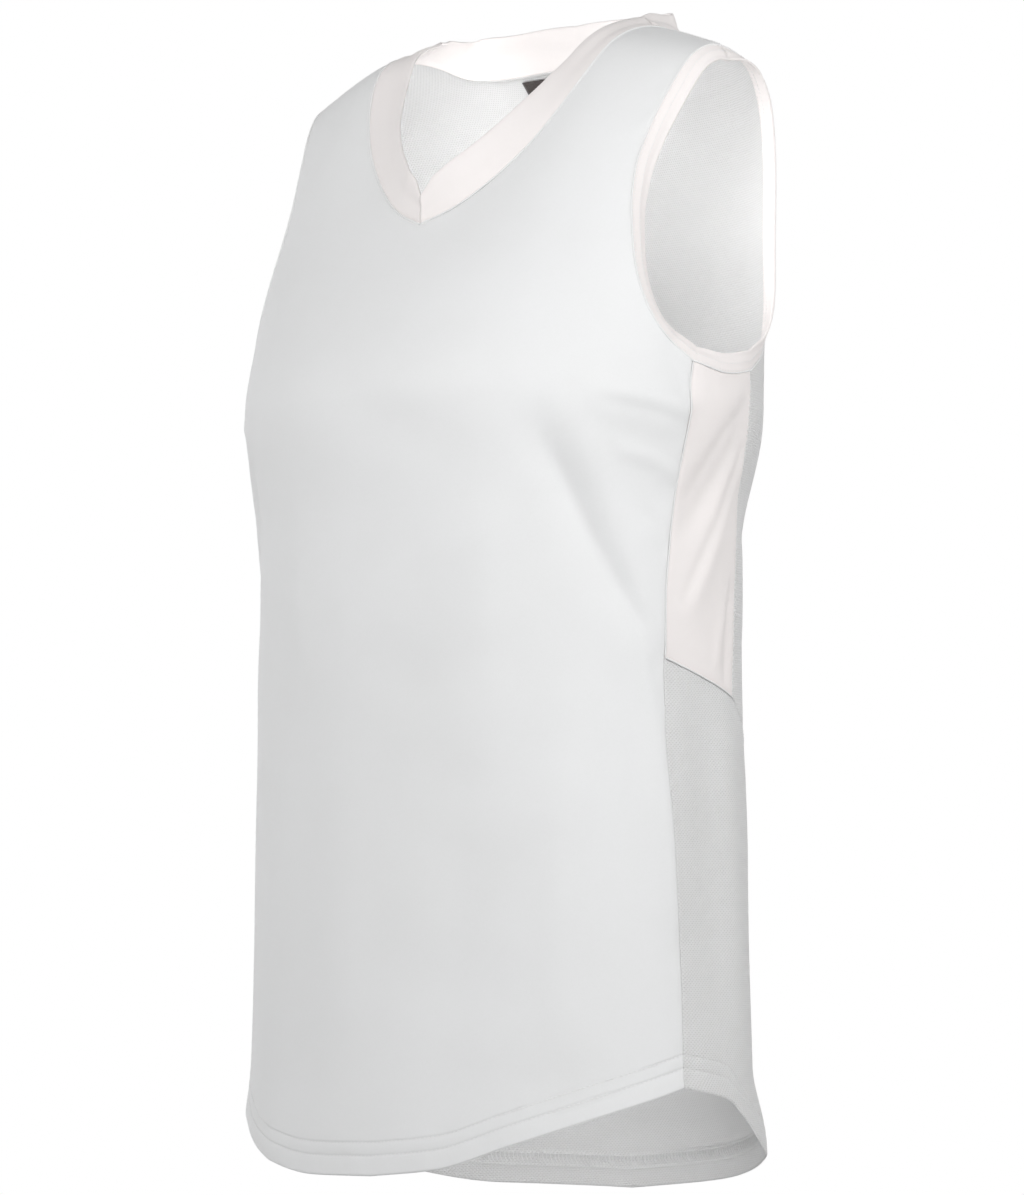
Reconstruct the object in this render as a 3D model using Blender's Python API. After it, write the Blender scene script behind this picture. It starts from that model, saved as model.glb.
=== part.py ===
"""Softball jersey: sleeveless, V neck, filled out as if worn, with a hollow inside.

Frame: the origin is midway between the two points where the shoulder seams meet the neck
seam, +X is the wearer's left, -Y the front and +Z up. Lengths are metres.
Every panel lies on one form, which is the shape of the cloth's outer side. A place on the
form is an angle from the centre front, in degrees, and a height. Below the bust line that
height is z. Above it the height is a share of the way round to the shoulder line.
"""
import math

import bpy
from mathutils import Vector

# Cloth
PANEL_WALL = 0.0012
HEM_WALL = 0.0022          # the hem is turned up inside, so it is nearly twice as thick
HEM_TURN = 0.0195
BAND_WALL = 0.0020
SEAM_GAP = 0.0003
BINDING_WIDTH = 0.012
LABEL_WIDTH, LABEL_DROP, LABEL_THICK = 0.078, 0.030, 0.0010
LABEL_MIDDLE_X = -0.008    # it hangs a little to the wearer's right
LABEL_CLEAR = 0.0015       # from the neck seam down to the label
LABEL_GAP = 0.0008         # between the label and the back panel

# The form below the bust line: one row for each level ring, in metres.
BUST_Z = -0.225
RING_POWER = 2.08          # 2 is an ellipse, more is squarer
RINGS = [
    # height, half_width, front_depth, back_depth, middle_y
    (-0.710, 0.175, 0.113, 0.130, -0.034),
    (-0.655, 0.172, 0.113, 0.127, -0.034),
    (-0.608, 0.166, 0.112, 0.109, -0.033),
    (-0.465, 0.162, 0.112, 0.106, -0.032),
    (-0.355, 0.158, 0.116, 0.108, -0.031),
    (-0.290, 0.160, 0.118, 0.110, -0.030),
    (BUST_Z, 0.171, 0.123, 0.118, -0.0295),
]

# The form above the bust line closes to the shoulder line.
NECK_POINT_X = 0.098
TIP_X, TIP_Y, TIP_Z = 0.161, -0.016, -0.022
RIGHT_TIP_Z = -0.034       # the wearer's right shoulder hangs a little lower
YOKE_SPAN = 0.44           # height at the shoulder line, counted from the bust line
YOKE_DEPTHS = [
    # share of the yoke still above, then the share of the depth that is left:
    # climb, front_centre, front_side, back_centre, back_side
    (0.00, 0.00, 0.00, 0.00, 0.00),
    (0.25, 0.19, 0.36, 0.22, 0.56),
    (0.50, 0.45, 0.59, 0.58, 0.80),
    (0.72, 0.71, 0.75, 0.84, 0.91),
    (0.88, 0.89, 0.90, 0.99, 1.00),
    (1.00, 1.00, 1.00, 1.00, 1.00),
]

# Seams and edges on the form, as half curves. Angles are degrees from the centre front.
SIDE_SEAM = [
    # angle, height
    (76.3, -0.618), (76.4, -0.568), (74.5, -0.486), (72.8, -0.425), (73.1, -0.3746),
]
INSERT_FRONT_SEAM = [(73.1, -0.3746), (73.4, -0.342), (75.4, -0.285), (77.0, -0.2058)]
INSERT_BACK_SEAM = [(102.0, -0.396), (104.5, -0.345), (103.5, -0.285), (100.5, -0.2076)]
INSERT_HEM_SEAM = [(73.1, -0.3746), (88.0, -0.386), (102.0, -0.396)]
UNDERARM_SEAM = [(77.0, -0.2058), (89.0, -0.2110), (100.5, -0.2076)]
BACK_YOKE_SEAM = [(102.0, -0.396), (117.0, -0.4165), (140.0, -0.440), (180.0, -0.452)]
# The front hem is a little lower on the wearer's right.
FRONT_HEM_LEFT = [(0.0, -0.6697), (15.0, -0.6645), (31.0, -0.6505), (51.0, -0.6345), (76.3, -0.618)]
FRONT_HEM_RIGHT = [(0.0, -0.6697), (15.0, -0.6705), (31.0, -0.6650), (51.0, -0.6440), (76.3, -0.618)]
# The back hem's tail hangs a little to the wearer's right.
BACK_HEM_LEFT = [
    (76.3, -0.618), (92.2, -0.6250), (100.8, -0.6380), (112.0, -0.6540), (128.0, -0.6640),
    (150.0, -0.6770), (180.0, -0.6875),
]
BACK_HEM_RIGHT = [
    (76.3, -0.618), (89.0, -0.6320), (100.0, -0.6520), (112.0, -0.6675), (128.0, -0.6790),
    (150.0, -0.6870), (180.0, -0.6875),
]
# Above the bust line edges are given in front view.
FRONT_NECKLINE = [
    # half_width, height
    (0.0, -0.1185), (0.021, -0.1100), (0.041, -0.0952), (0.0665, -0.0655), (0.0845, -0.0285),
    (0.098, 0.0),
]
BACK_NECKLINE = [
    (0.0, -0.0097), (0.048, -0.0095), (0.075, -0.0088), (0.089, -0.0062), (0.098, 0.0),
]
SHOULDER_END_X = 0.150
FRONT_ARMHOLE = [
    # height, half_width
    (-0.0174, 0.150), (-0.0384, 0.1426), (-0.0716, 0.1354), (-0.0913, 0.1334),
    (-0.1080, 0.1345), (-0.1519, 0.1438), (-0.1872, 0.1567), (-0.2058, 0.1668),
]
BACK_ARMHOLE = [
    (-0.0174, 0.150), (-0.0450, 0.1475), (-0.0800, 0.1465), (-0.1200, 0.1475),
    (-0.1600, 0.1510), (-0.1900, 0.1575), (-0.2076, 0.1682),
]

# The neckband, round half the neck: 0 is the centre front, 1 the shoulder, 2 the centre back.
NECKBAND = [
    # place, width, slant (degrees along the seam), lift (degrees out of the form)
    (0.00, 0.0170, 0.0, 33.0), (0.10, 0.0250, 8.0, 33.0), (0.20, 0.0265, 4.0, 30.0),
    (0.45, 0.0265, 0.0, 17.0), (0.60, 0.0262, 3.0, 4.0), (0.72, 0.0255, 8.0, -4.0),
    (0.85, 0.0240, 16.0, -2.0), (1.00, 0.0235, 14.0, 9.0), (1.15, 0.0215, 4.0, 26.0),
    (1.30, 0.0235, -4.0, 36.0), (1.50, 0.0265, -4.0, 42.0), (2.00, 0.0265, 0.0, 45.0),
]
BAND_STEPS = (0.0, 0.34, 0.67, 1.0)
BINDING_LEANS = [
    # cell round the armhole from the shoulder down the front, degrees that the free edge turns in
    (0.0, 40.0), (2.0, 26.0), (4.5, 44.0), (7.0, 64.0), (9.5, 60.0), (11.5, 42.0), (13.5, 20.0),
    (16.0, 4.0), (18.0, -16.0), (20.5, -36.0), (26.0, -36.0), (28.0, -4.0), (29.0, 40.0),
]

# How many cells each stretch of seam has.
NECK_CELLS, BACK_NECK_CELLS, SHOULDER_CELLS = 14, 10, 6
SIDE_CELLS, INSERT_CELLS, ARMHOLE_CELLS = 15, 10, 12
INSERT_WIDTH_CELLS = 5

GUIDE_PULL = 0.66          # how far the neck point's column follows the armhole side
WAIST_ROW, BUST_ROW = -0.385, -0.240    # heights on the centre front level with the insert's ends
BACK_BUST_ROW = -0.222                  # the same on the centre back
CURVE_SAMPLES = 160

# The largest folds: soft ridges, or troughs where the depth is below 0. Each runs from a
# place a through a place m to a place b.
FOLDS = [
    # angle_a, height_a, angle_m, height_m, angle_b, height_b, width, depth
    # front, wearer's left
    (39.0, -0.243, 51.5, -0.300, 64.5, -0.356, 0.0130, -0.0035),
    (47.0, -0.240, 61.0, -0.312, 72.0, -0.368, 0.0140, 0.0032),
    (60.5, -0.345, 69.0, -0.405, 72.0, -0.520, 0.0130, 0.0026),
    (50.0, -0.226, 64.0, -0.229, 75.5, -0.236, 0.0110, 0.0028),
    (70.5, -0.190, 73.5, -0.208, 76.0, -0.226, 0.0080, -0.0020),
    (46.5, -0.400, 45.5, -0.500, 46.0, -0.600, 0.0220, 0.0022),
    (20.0, -0.440, 19.5, -0.520, 17.0, -0.640, 0.0240, -0.0020),
    (27.0, -0.250, 25.0, -0.330, 24.0, -0.430, 0.0260, 0.0024),
    # front, wearer's right
    (-49.0, -0.252, -58.0, -0.306, -68.0, -0.356, 0.0125, -0.0026),
    (-58.0, -0.262, -66.0, -0.322, -72.0, -0.374, 0.0130, 0.0028),
    (-62.0, -0.226, -69.0, -0.232, -75.5, -0.240, 0.0100, 0.0024),
    (-63.0, -0.360, -68.0, -0.430, -70.0, -0.560, 0.0150, 0.0024),
    (-7.0, -0.440, -7.5, -0.520, -10.0, -0.640, 0.0240, 0.0018),
    (-34.0, -0.400, -33.0, -0.500, -36.0, -0.610, 0.0240, 0.0022),
    # side inserts
    (99.5, -0.232, 90.0, -0.268, 78.0, -0.306, 0.0090, -0.0028),
    (96.0, -0.262, 90.0, -0.306, 82.0, -0.345, 0.0090, 0.0024),
    (-99.0, -0.236, -89.0, -0.276, -78.5, -0.318, 0.0095, -0.0026),
    (-96.0, -0.270, -91.0, -0.312, -83.0, -0.352, 0.0090, 0.0022),
    # sides of the lower back
    (86.0, -0.400, 88.0, -0.470, 87.0, -0.570, 0.0160, -0.0026),
    (97.0, -0.420, 99.0, -0.500, 102.0, -0.610, 0.0170, 0.0026),
    (-87.0, -0.402, -90.0, -0.480, -89.0, -0.580, 0.0165, -0.0025),
    (-99.0, -0.424, -100.0, -0.510, -104.0, -0.620, 0.0175, 0.0026),
    # back
    (112.0, -0.250, 124.0, -0.320, 142.0, -0.400, 0.0190, -0.0022),
    (124.0, -0.245, 140.0, -0.310, 154.0, -0.370, 0.0180, 0.0030),
    (150.0, -0.470, 152.0, -0.550, 149.0, -0.640, 0.0240, -0.0030),
    (128.0, -0.440, 130.0, -0.540, 126.0, -0.640, 0.0220, 0.0028),
    (-113.0, -0.255, -127.0, -0.330, -144.0, -0.410, 0.0190, 0.0034),
    (-122.0, -0.240, -139.0, -0.310, -155.0, -0.372, 0.0170, -0.0026),
    (-158.0, -0.460, -155.0, -0.550, -158.0, -0.650, 0.0240, -0.0030),
    (-133.0, -0.450, -131.0, -0.550, -135.0, -0.640, 0.0220, 0.0028),
    (176.0, -0.300, 178.0, -0.380, 174.0, -0.460, 0.0240, 0.0024),
]

COLOURS = {
    # material: linear red, green, blue, roughness
    "smooth_knit": (0.82, 0.83, 0.84, 0.45),
    "back_mesh": (0.72, 0.72, 0.72, 0.70),
    "trim_knit": (0.84, 0.80, 0.79, 0.60),
    "label_satin": (0.045, 0.030, 0.028, 0.50),
}


# ---------------------------------------------------------------- curves through rows

def slopes(places, values):
    """Slopes of a smooth curve through the rows that never overshoots them."""
    steps = [(values[k + 1] - values[k]) / (places[k + 1] - places[k])
             for k in range(len(places) - 1)]
    result = [steps[0]]
    for before, after in zip(steps, steps[1:]):
        result.append(2 * before * after / (before + after) if before * after > 0 else 0.0)
    result.append(steps[-1])
    return result


def through(rows, column, place, level_end=False):
    """Value of one column at a place along the first column."""
    places = [row[0] for row in rows]
    values = [row[column] for row in rows]
    place = min(max(place, places[0]), places[-1])
    tangents = slopes(places, values)
    if level_end:
        tangents[-1] = 0.0
    k = max(index for index in range(len(places) - 1) if places[index] <= place)
    span = places[k + 1] - places[k]
    t = (place - places[k]) / span
    return ((1 + 2 * t) * (1 - t) ** 2 * values[k] + t * (1 - t) ** 2 * span * tangents[k]
            + t * t * (3 - 2 * t) * values[k + 1] + t * t * (t - 1) * span * tangents[k + 1])


def ease(t):
    t = min(max(t, 0.0), 1.0)
    return t * t * (3 - 2 * t)


# ---------------------------------------------------------------- the form

def shoulder_line(x):
    """The y and z of the shoulder line, a shallow arch through the neck points and tips."""
    share = (x * x - NECK_POINT_X ** 2) / (TIP_X ** 2 - NECK_POINT_X ** 2)
    return TIP_Y * share, (RIGHT_TIP_Z if x < -NECK_POINT_X else TIP_Z) * share


def ring_at(height):
    level = min(height, BUST_Z)
    return [through(RINGS, column, level, level_end=True) for column in range(1, 5)]


def yoke_share(x, climb, front):
    """Share of the bust line's depth that is left at a climb of 1 (bust) to 0 (shoulder)."""
    centre, side = (1, 2) if front else (3, 4)
    blend = ease(abs(x) / (NECK_POINT_X if front else SHOULDER_END_X))
    return ((1 - blend) * through(YOKE_DEPTHS, centre, climb, level_end=True)
            + blend * through(YOKE_DEPTHS, side, climb, level_end=True))


def bare_form(angle, height):
    """Point of the form, before folds. Height counts on past the bust line to the yoke."""
    turn = math.radians(angle)
    front = math.cos(turn) >= 0
    over = max(0.0, height - BUST_Z)
    half_width, front_depth, back_depth, middle_y = ring_at(height)
    x = half_width * abs(math.sin(turn)) ** (2 / RING_POWER) * math.copysign(1, math.sin(turn))
    depth = (front_depth if front else back_depth) * abs(math.cos(turn)) ** (2 / RING_POWER)
    y, z = middle_y, min(height, BUST_Z)
    if over > 0:
        climb = max(0.0, 1 - over / YOKE_SPAN)
        rise = 1 - climb * climb
        line_y, line_z = shoulder_line(x)
        z = BUST_Z + (line_z - BUST_Z) * rise
        y = middle_y + (line_y - middle_y) * ease(rise)
        depth *= yoke_share(x, climb, front)
    return Vector((x, y - depth if front else y + depth, z))


def from_front_view(x, z, back=False):
    """The angle and height whose point has this x and z, on the left half of the form."""
    half_width = ring_at(z)[0]
    angle = math.degrees(math.asin(min(1.0, x / half_width) ** (RING_POWER / 2)))
    height = z
    if z > BUST_Z:
        rise = (z - BUST_Z) / (shoulder_line(x)[1] - BUST_Z)
        height = BUST_Z + YOKE_SPAN * (1 - math.sqrt(max(0.0, 1 - rise)))
    return (180 - angle if back else angle), height


def bare_normal(angle, height):
    small_turn, small_rise = 0.2, 0.0005
    top = BUST_Z + YOKE_SPAN
    across = bare_form(angle + small_turn, height) - bare_form(angle - small_turn, height)
    up = (bare_form(angle, min(height + small_rise, top))
          - bare_form(angle, min(height, top) - small_rise))
    return across.cross(up).normalized()


def fold_runs():
    """Each fold's three points on the bare form, its width and its depth."""
    return [([bare_form(*row[k:k + 2]) for k in (0, 2, 4)], row[6], row[7]) for row in FOLDS]


def reach_along(point, start, end):
    """Share of a straight run nearest to a point, not held within its ends, and how far off."""
    run = end - start
    share = (point - start).dot(run) / run.length_squared
    return share, (point - start - run * min(max(share, 0.0), 1.0)).length


def fold_depth(point):
    """How far the folds lift the cloth at a point of the bare form."""
    total = 0.0
    for (start, middle, end), width, depth in FOLD_RUNS:
        first, away_first = reach_along(point, start, middle)
        second, away_second = reach_along(point, middle, end)
        along = 0.5 * (first if away_first < away_second else 1 + second)
        fade = ease((along + 0.25) / 0.5) * ease((1.25 - along) / 0.5)
        total += depth * fade * math.exp(-(min(away_first, away_second) / width) ** 2)
    return total


def form(angle, height):
    point = bare_form(angle, height)
    return point + bare_normal(angle, height) * fold_depth(point)


def normal(angle, height):
    small_turn, small_rise = 0.5, 0.001
    top = BUST_Z + YOKE_SPAN
    across = form(angle + small_turn, height) - form(angle - small_turn, height)
    up = (form(angle, min(height + small_rise, top))
          - form(angle, min(height, top) - small_rise))
    return across.cross(up).normalized()


# ---------------------------------------------------------------- seams as sampled places

def spaced(curve, cells, first_step=0.0):
    """Places along a curve of t from 0 to 1, evenly far apart on the form."""
    places = [curve(k / CURVE_SAMPLES) for k in range(CURVE_SAMPLES + 1)]
    travelled = [0.0]
    for before, after in zip(places, places[1:]):
        travelled.append(travelled[-1] + (bare_form(*after) - bare_form(*before)).length)
    total = travelled[-1]
    wanted = [total * k / cells for k in range(cells + 1)]
    if first_step:
        rest = (total - first_step) / (cells - 1)
        wanted = [0.0] + [first_step + rest * k for k in range(cells)]
    result = []
    k = 0
    for distance in wanted:
        while k < CURVE_SAMPLES - 1 and travelled[k + 1] < distance:
            k += 1
        t = (distance - travelled[k]) / (travelled[k + 1] - travelled[k])
        t = min(max(t, 0.0), 1.0)
        result.append(tuple(a + (b - a) * t for a, b in zip(places[k], places[k + 1])))
    return result


def rows_curve(rows):
    """A curve through rows of places, as a function of t."""
    numbered = [(k / (len(rows) - 1),) + tuple(row) for k, row in enumerate(rows)]
    return lambda t: (through(numbered, 1, t), through(numbered, 2, t))


def side_seam():
    return spaced(rows_curve([place_low(*row) for row in SIDE_SEAM]), SIDE_CELLS, HEM_TURN)


def place_low(angle, z):
    """A place given by angle and z, also where z is just above the bust line."""
    if z <= BUST_Z:
        return angle, z
    x = bare_form(angle, BUST_Z).x
    return angle, from_front_view(x, z)[1]


def low_seam(rows, cells):
    return spaced(rows_curve([place_low(*row) for row in rows]), cells)


def shoulder_seam(back=False):
    """From the neck point to the armhole."""
    top = BUST_Z + YOKE_SPAN
    steps = [NECK_POINT_X + (SHOULDER_END_X - NECK_POINT_X) * k / SHOULDER_CELLS
             for k in range(SHOULDER_CELLS + 1)]
    return [(from_front_view(x, BUST_Z, back)[0], top) for x in steps]


def armhole(rows, back):
    """From the underarm up to the shoulder seam's end."""
    climb = [(width, height) for height, width in reversed(rows)]
    places = [from_front_view(x, z, back) for x, z in climb]
    corner = low_seam(UNDERARM_SEAM, 1)[1 if back else 0]
    places[0] = corner
    places[-1] = shoulder_seam(back)[-1]
    return spaced(rows_curve(places), ARMHOLE_CELLS)


def neckline(back):
    """From the centre to the neck point."""
    rows = BACK_NECKLINE if back else FRONT_NECKLINE
    places = [from_front_view(x, z, back) for x, z in rows]
    places[-1] = shoulder_seam(back)[0]
    return spaced(rows_curve(places), BACK_NECK_CELLS if back else NECK_CELLS)


# ---------------------------------------------------------------- panels as grids

def coons(bottom, top, inner, outer):
    """Places of a four-sided panel, filled in from its four edges."""
    columns, rows = len(bottom) - 1, len(inner) - 1
    grid = []
    for j in range(rows + 1):
        v = j / rows
        line = []
        for i in range(columns + 1):
            u = i / columns
            place = []
            for axis in (0, 1):
                between_sides = (1 - u) * inner[j][axis] + u * outer[j][axis]
                between_ends = (1 - v) * bottom[i][axis] + v * top[i][axis]
                corners = ((1 - v) * ((1 - u) * bottom[0][axis] + u * bottom[-1][axis])
                           + v * ((1 - u) * top[0][axis] + u * top[-1][axis]))
                place.append(between_sides + between_ends - corners)
            line.append(tuple(place))
        grid.append(line)
    return grid


def guide(inner, outer, bottom, top):
    """Places up the panel to the neck point, which keep the cells there from crossing."""
    result = []
    for inside, outside in zip(inner, outer):
        inner_share = (inside[1] - inner[0][1]) / (inner[-1][1] - inner[0][1])
        outer_share = (outside[1] - outer[0][1]) / (outer[-1][1] - outer[0][1])
        share = GUIDE_PULL * outer_share + (1 - GUIDE_PULL) * inner_share
        result.append(tuple(a + (b - a) * share for a, b in zip(bottom, top)))
    return result


def shaped(bottom, top, inner, outer, neck_column):
    """A panel with a corner in its top edge, at the neck point."""
    middle = guide(inner, outer, bottom[neck_column], top[neck_column])
    neck_part = coons(bottom[:neck_column + 1], top[:neck_column + 1], inner, middle)
    shoulder_part = coons(bottom[neck_column:], top[neck_column:], middle, outer)
    return [left + right[1:] for left, right in zip(neck_part, shoulder_part)]


def centre_line(angle, stops, cells):
    """Places up the centre front or back, with so many cells between each two stops."""
    heights = [stops[0]]
    for start, end, count in zip(stops, stops[1:], cells):
        heights += [start + (end - start) * k / count for k in range(1, count + 1)]
    return [(angle, height) for height in heights]


def front_half(hem_rows):
    outer = (side_seam() + low_seam(INSERT_FRONT_SEAM, INSERT_CELLS)[1:]
             + armhole(FRONT_ARMHOLE, False)[1:])
    top = neckline(False) + shoulder_seam()[1:]
    bottom = low_seam(hem_rows, len(top) - 1)
    hem = bottom[0][1]
    inner = centre_line(0.0, (hem, hem + HEM_TURN, WAIST_ROW, BUST_ROW, top[0][1]),
                        (1, SIDE_CELLS - 1, INSERT_CELLS, ARMHOLE_CELLS))
    return shaped(bottom, top, inner, outer, NECK_CELLS)


def back_upper_half():
    outer = low_seam(INSERT_BACK_SEAM, INSERT_CELLS) + armhole(BACK_ARMHOLE, True)[1:]
    top = neckline(True) + shoulder_seam(True)[1:]
    bottom = low_seam(BACK_YOKE_SEAM, len(top) - 1)[::-1]
    inner = centre_line(180.0, (bottom[0][1], BACK_BUST_ROW, top[0][1]),
                        (INSERT_CELLS, ARMHOLE_CELLS))
    return shaped(bottom, top, inner, outer, BACK_NECK_CELLS)


def back_lower_half(hem_rows):
    yoke_cells = BACK_NECK_CELLS + SHOULDER_CELLS
    top = (low_seam(INSERT_HEM_SEAM, INSERT_WIDTH_CELLS)
           + low_seam(BACK_YOKE_SEAM, yoke_cells)[1:])[::-1]
    bottom = low_seam(hem_rows, len(top) - 1)[::-1]
    hem = bottom[0][1]
    inner = centre_line(180.0, (hem, hem + HEM_TURN, top[0][1]), (1, SIDE_CELLS - 1))
    return coons(bottom, top, inner, side_seam())


def insert_half():
    return coons(low_seam(INSERT_HEM_SEAM, INSERT_WIDTH_CELLS),
                 low_seam(UNDERARM_SEAM, INSERT_WIDTH_CELLS),
                 low_seam(INSERT_FRONT_SEAM, INSERT_CELLS),
                 low_seam(INSERT_BACK_SEAM, INSERT_CELLS))


def joined(left, right):
    """Both halves of a panel whose first columns are on the centre line, as signed places."""
    return [[(-angle, height) for angle, height in right_line[:0:-1]] + left_line
            for left_line, right_line in zip(left, right)]


def drawn_in(points, edges):
    """The grid's points with each seam edge moved half the seam gap into the panel."""
    rows, columns = len(points) - 1, len(points[0]) - 1
    moved = [[point.copy() for point in line] for line in points]
    for j in range(rows + 1):
        for i in range(columns + 1):
            for edge, on_edge, dj, di in (("bottom", j == 0, 1, 0), ("top", j == rows, -1, 0),
                                          ("start", i == 0, 0, 1), ("end", i == columns, 0, -1)):
                if edge in edges and on_edge:
                    inward = (points[j + dj][i + di] - points[j][i]).normalized()
                    moved[j][i] += inward * edge_step(points, j, i, edge, inward)
    return moved


def edge_step(points, j, i, edge, inward):
    """Length of a step along inward that clears half the gap square to the edge."""
    rows, columns = len(points) - 1, len(points[0]) - 1
    if edge in ("bottom", "top"):
        along = points[j][min(i + 1, columns)] - points[j][max(i - 1, 0)]
    else:
        along = points[min(j + 1, rows)][i] - points[max(j - 1, 0)][i]
    square = inward.cross(along.normalized()).length
    return SEAM_GAP / 2 / max(square, 0.35)


# ---------------------------------------------------------------- meshes and objects

def make_material(name):
    red, green, blue, roughness = COLOURS[name]
    material = bpy.data.materials.new(name)
    material.use_nodes = True
    shader = material.node_tree.nodes["Principled BSDF"]
    shader.inputs["Base Color"].default_value = (red, green, blue, 1.0)
    shader.inputs["Roughness"].default_value = roughness
    shader.inputs["Metallic"].default_value = 0.0
    material.diffuse_color = (red, green, blue, 1.0)
    return material


def cloth(name, outer, inner, material, closed=False):
    """A solid sheet between two grids of points, on its outer and its inner side."""
    rows, columns = len(outer), len(outer[0])
    cells = columns if closed else columns - 1
    shift = rows * columns
    faces, rim = [], []
    for j in range(rows - 1):
        for i in range(cells):
            low, high = j * columns, (j + 1) * columns
            after = (i + 1) % columns
            face = (low + i, low + after, high + after, high + i)
            faces.append(face)
            faces.append(tuple(corner + shift for corner in reversed(face)))
    for i in range(cells):
        after = (i + 1) % columns
        rim.append((i, after))
        rim.append((shift - columns + after, shift - columns + i))
    if not closed:
        for low in range(0, shift - columns, columns):
            rim.append((low + columns, low))
            rim.append((low + columns - 1, low + 2 * columns - 1))
    faces += [(end, start, start + shift, end + shift) for start, end in rim]
    mesh = bpy.data.meshes.new(name)
    mesh.from_pydata([point for grid in (outer, inner) for line in grid for point in line],
                     [], faces)
    mesh.shade_smooth()
    mesh.materials.append(material)
    piece = bpy.data.objects.new(name, mesh)
    collection.objects.link(piece)


def panel(name, places, edges, material, hemmed=False):
    outer = drawn_in([[form(*place) for place in line] for line in places], edges)
    inner = []
    for j, (points, line) in enumerate(zip(outer, places)):
        wall = HEM_WALL if hemmed and j < 2 else PANEL_WALL
        inner.append([point - normal(*place) * wall for point, place in zip(points, line)])
    cloth(name, outer, inner, material)


def insert(name, side, material):
    places = [[(side * angle, height) for angle, height in line] for line in insert_half()]
    if side < 0:
        places = [line[::-1] for line in places]
    panel(name, places, ("bottom", "top", "start", "end"), material)


def seam_frames(places):
    """For each place on a closed seam: its point, the way along it and the form's normal."""
    points = [form(*place) for place in places]
    count = len(points)
    frames = []
    for k, place in enumerate(places):
        before, after = points[k - 1], points[(k + 1) % count]
        frames.append((points[k], (after - before).normalized(), normal(*place)))
    return frames


def binding(name, side, material):
    """A folded strip round the armhole, on from the panels' edge and turned in a little."""
    front = armhole(FRONT_ARMHOLE, False)
    under = low_seam(UNDERARM_SEAM, INSERT_WIDTH_CELLS)
    back = armhole(BACK_ARMHOLE, True)
    loop = [(side * angle, height) for angle, height in front[::-1] + under[1:] + back[1:-1]]
    if side < 0:
        loop = loop[::-1]
    outer, inner = [[], [], []], [[], [], []]
    for number, (point, along, out) in enumerate(seam_frames(loop)):
        cell = number if side > 0 else len(loop) - 1 - number
        lean = math.radians(through(BINDING_LEANS, 1, cell))
        across = out.cross(along).normalized()
        ways, faces = [], []
        for share in (0.5, 1.0):
            ways.append(across * math.cos(lean * share) - out * math.sin(lean * share))
            faces.append(out * math.cos(lean * share) + across * math.sin(lean * share))
        start = point + across * SEAM_GAP / 2
        bend = start + ways[0] * BINDING_WIDTH / 3
        stations = ((start, out), (bend, faces[0]),
                    (bend + ways[1] * BINDING_WIDTH * 2 / 3, faces[1]))
        for k, (place, face) in enumerate(stations):
            outer[k].append(place)
            inner[k].append(place - face * BAND_WALL)
    cloth(name, outer, inner, material, closed=True)


def neckband_loop():
    """The whole neckband from the centre front: outer and inner lines, and the ways along."""
    front, back = neckline(False), neckline(True)[::-1]
    half = front + back[1:]
    places = half + [(-angle, height) for angle, height in half[-2:0:-1]]
    shares = ([k / NECK_CELLS for k in range(NECK_CELLS + 1)]
              + [1 + k / BACK_NECK_CELLS for k in range(1, BACK_NECK_CELLS + 1)])
    shares += [-share for share in shares[-2:0:-1]]
    frames = seam_frames(places)
    outer, inner = [[] for _ in BAND_STEPS], [[] for _ in BAND_STEPS]
    for (point, along, out), share in zip(frames, shares):
        width, slant, lift = (through(NECKBAND, column, abs(share)) for column in (1, 2, 3))
        slant = math.radians(math.copysign(slant, share))
        lift = math.radians(lift)
        across = out.cross(along).normalized()
        way = across * math.cos(slant) + along * math.sin(slant)
        way = (way * math.cos(lift) + out * math.sin(lift)).normalized()
        face = along.cross(way).normalized()
        for k, step in enumerate(BAND_STEPS):
            place = point + across * SEAM_GAP / 2 + way * step * width
            outer[k].append(place)
            inner[k].append(place - face * BAND_WALL)
    return outer, inner, [along for _, along, _ in frames]


def neckband(name, loop, start, cells, material):
    """A part of the neckband, shortened at both ends by half the seam gap."""
    outer, inner, ways = loop
    picked = [k % len(ways) for k in range(start, start + cells + 1)]
    sides = []
    for lines in (outer, inner):
        side = [[line[k].copy() for k in picked] for line in lines]
        for line in side:
            line[0] += ways[picked[0]] * SEAM_GAP / 2
            line[-1] -= ways[picked[-1]] * SEAM_GAP / 2
        sides.append(side)
    cloth(name, *sides, material)


def neck_label(name, material):
    """A plain label that hangs from the back neck seam, just inside the back panel."""
    columns, rows = 8, 3
    drop_from = BACK_NECKLINE[0][1] - LABEL_CLEAR
    outer, inner = [], []
    for j in range(rows + 1):
        z = drop_from - LABEL_DROP * (1 - j / rows)
        outer.append([])
        inner.append([])
        for i in range(columns + 1):
            x = LABEL_MIDDLE_X + LABEL_WIDTH * (0.5 - i / columns)
            angle, height = from_front_view(abs(x), z, back=True)
            angle = math.copysign(angle, x)
            point, face = form(angle, height), normal(angle, height)
            outer[-1].append(point - face * (PANEL_WALL + LABEL_GAP))
            inner[-1].append(point - face * (PANEL_WALL + LABEL_GAP + LABEL_THICK))
    cloth(name, outer, inner, material)


FOLD_RUNS = fold_runs()
collection = bpy.data.collections.new("softball_jersey")


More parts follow.
